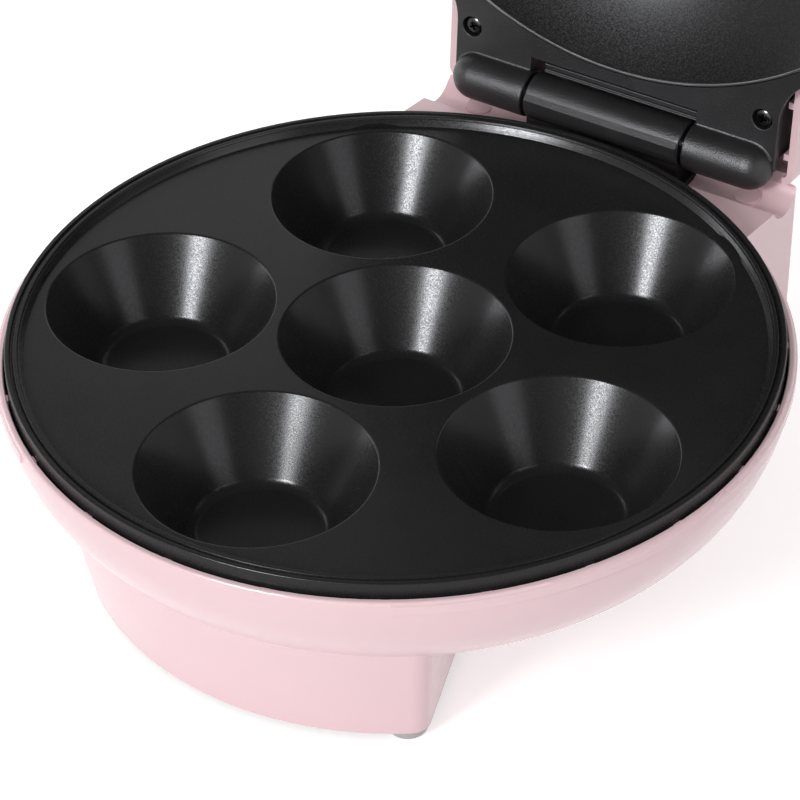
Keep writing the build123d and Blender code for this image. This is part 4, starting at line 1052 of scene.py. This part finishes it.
@dataclass
class Studio:
    """Floor, lamps, world and the camera at the photograph's place."""

    plate_centre: Vector
    azimuth: float = 33.51
    elevation: float = 38.26
    roll: float = -1.462
    distance: float = 0.99455
    lens: float = 153.84
    aim: tuple[float, float, float] = (0.018503, -0.026331, 0.0)
    world_strength: float = 0.57
    paper: float = 0.86
    paper_glow: float = 0.52
    floor_half: float = 6.0
    ceiling_glow: float = 0.12
    ceiling_z: float = 2.4
    ceiling_y: tuple[float, float] = (-7.0, 2.8)
    ceiling_half: float = 7.0
    fade_front: tuple[float, float] = (-4.4, -3.2)
    fade_back: tuple[float, float] = (1.9, 2.6)
    key: SoftPanel = SoftPanel("key", -6.5, 29.5, 2.3, 0.40, 0.60, 18.0)
    key_core: SoftPanel = SoftPanel("key_core", -7.8, 29.5, 2.25, 0.62, 0.60, 70.0, Reach.REFLECTS)
    dome_core: SoftPanel = SoftPanel("dome_core", -24.0, 20.5, 2.2, 0.66, 0.24, 50.0, Reach.REFLECTS)
    around: tuple[SoftPanel, ...] = (
        SoftPanel("front", 12.0, 7.0, 2.4, 1.4, 0.5, 3.5),
        SoftPanel("right", 80.0, 23.0, 2.4, 1.0, 1.2, 1.5),
        SoftPanel("right_core", 80.0, 23.0, 2.35, 1.0, 1.2, 10.0, Reach.REFLECTS),
        SoftPanel("left_core", -82.0, 9.0, 2.35, 0.8, 0.6, 9.0, Reach.REFLECTS),
        SoftPanel("back_left", -110.0, 30.0, 2.4, 0.4, 1.2, 5.0),
    )

    def camera(self) -> None:
        """Place the camera."""
        a, r = math.radians(self.azimuth), math.radians(self.roll)
        back = outward(self.azimuth, self.elevation)
        right = Vector((math.cos(a), math.sin(a), 0.0))
        up = back.cross(right)
        x_axis = right * math.cos(r) + up * math.sin(r)
        y_axis = up * math.cos(r) - right * math.sin(r)
        place = self.plate_centre + Vector(self.aim) + back * self.distance
        data = bpy.data.cameras.new("camera")
        data.lens = self.lens
        data.sensor_width = SENSOR_WIDTH
        data.clip_start, data.clip_end = 0.05, 20.0
        camera = bpy.data.objects.new("camera", data)
        columns = Matrix((x_axis, y_axis, back)).transposed().to_4x4()
        camera.matrix_world = Matrix.Translation(place) @ columns
        bpy.context.scene.collection.objects.link(camera)
        bpy.context.scene.camera = camera

    def world(self) -> None:
        """Surround the object with even light, and with white for the camera."""
        world = bpy.data.worlds.new("studio")
        world.use_nodes = True
        tree = world.node_tree
        tree.nodes.clear()
        output = tree.nodes.new("ShaderNodeOutputWorld")
        light, seen = tree.nodes.new("ShaderNodeBackground"), tree.nodes.new("ShaderNodeBackground")
        for node, strength in ((light, self.world_strength), (seen, 1.0)):
            node.inputs["Color"].default_value = (*WHITE, 1.0)
            node.inputs["Strength"].default_value = strength
        mix = tree.nodes.new("ShaderNodeMixShader")
        tree.links.new(seen_ray(tree), mix.inputs["Fac"])
        tree.links.new(light.outputs["Background"], mix.inputs[1])
        tree.links.new(seen.outputs["Background"], mix.inputs[2])
        tree.links.new(mix.outputs["Shader"], output.inputs["Surface"])
        bpy.context.scene.world = world

    def floor(self) -> None:
        """Lay the white floor, which keeps the object's shadow."""
        floor = sheet("floor", self.floor_half, -self.floor_half, self.floor_half, 0.0, (0, 1, 2, 3))
        graph = Graph("floor_paper")
        paper = graph.add("ShaderNodeBsdfDiffuse", Color=(self.paper, self.paper, self.paper, 1.0))
        glow = graph.add("ShaderNodeEmission", Strength=self.paper_glow)
        both = graph.add("ShaderNodeAddShader")
        lit = graph.add("ShaderNodeMixShader")
        graph.link(paper.outputs[0], both.inputs[0])
        graph.link(glow.outputs[0], both.inputs[1])
        graph.link(seen_ray(graph.tree), lit.inputs["Fac"])
        graph.link(paper.outputs[0], lit.inputs[1])
        graph.link(both.outputs[0], lit.inputs[2])
        clear = graph.add("ShaderNodeBsdfTransparent")
        side = graph.add("ShaderNodeMixShader")
        graph.link(graph.add("ShaderNodeNewGeometry").outputs["Backfacing"], side.inputs["Fac"])
        graph.link(lit.outputs[0], side.inputs[1])
        graph.link(clear.outputs[0], side.inputs[2])
        graph.link(side.outputs[0], graph.output.inputs["Surface"])
        floor.data.materials.append(graph.material)

    def ceiling(self) -> None:
        """Hang the dim ceiling, which fades out at its front and back and shows in reflections only."""
        ceiling = sheet("ceiling", self.ceiling_half, *self.ceiling_y, self.ceiling_z, (3, 2, 1, 0))
        graph = Graph("ceiling_cloth")
        dim = graph.add("ShaderNodeEmission", Strength=self.ceiling_glow)
        open_air = graph.add("ShaderNodeBsdfTransparent")
        place = graph.add("ShaderNodeSeparateXYZ")
        graph.link(graph.coordinates(), place.inputs["Vector"])
        back = graph.spread(place.outputs["Y"], 0.0, 1.0, *self.fade_back)
        front = graph.spread(place.outputs["Y"], 1.0, 0.0, *self.fade_front)
        fade = graph.add("ShaderNodeMath", operation="MAXIMUM")
        graph.link(back, fade.inputs[0])
        graph.link(front, fade.inputs[1])
        mix = graph.add("ShaderNodeMixShader")
        graph.link(fade.outputs["Value"], mix.inputs["Fac"])
        graph.link(dim.outputs[0], mix.inputs[1])
        graph.link(open_air.outputs[0], mix.inputs[2])
        graph.link(mix.outputs[0], graph.output.inputs["Surface"])
        ceiling.data.materials.append(graph.material)
        ceiling.visible_camera = ceiling.visible_diffuse = ceiling.visible_shadow = False

    def build(self, upper_plate: bpy.types.Object) -> None:
        """Set up the whole studio.

        Args:
            upper_plate: The lid's plate, whose hollow has a highlight of its own.
        """
        self.camera()
        self.world()
        self.floor()
        self.ceiling()
        key, core = self.key.hang(self.plate_centre), self.key_core.hang(self.plate_centre)
        for panel in self.around:
            panel.hang(self.plate_centre)
        dome = self.dome_core.hang(self.plate_centre)
        Flag.OFF_THE_PIECE.put_up(key, upper_plate)
        Flag.OFF_THE_PIECE.put_up(core, upper_plate)
        Flag.ONLY_THE_PIECE.put_up(dome, upper_plate)


def main() -> None:
    """Load the frame, build every class in order and log what each makes."""
    logging.basicConfig(level=logging.INFO, format="%(message)s")
    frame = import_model()
    bpy.context.scene.view_settings.view_transform = "Standard"
    low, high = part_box("lower_plate")
    plate_y = (low.y + high.y) / 2
    joint = frame["joints"][0]
    hinge = Hinge(joint["pos_m"][1], joint["pos_m"][2], math.radians(joint["range_deg"][1]))
    palette = Palette()
    base = BaseUnit(palette, plate_y / MM)
    base.dress(frame["nodes"])
    base.build()
    lid = LidUnit(palette, hinge, plate_y / MM)
    lid.dress(frame["nodes"])
    upper_plate = lid.build(frame["nodes"])
    Studio(Vector((0.0, plate_y, PLATE_FLOOR))).build(upper_plate)


if __name__ == "__main__":
    main()
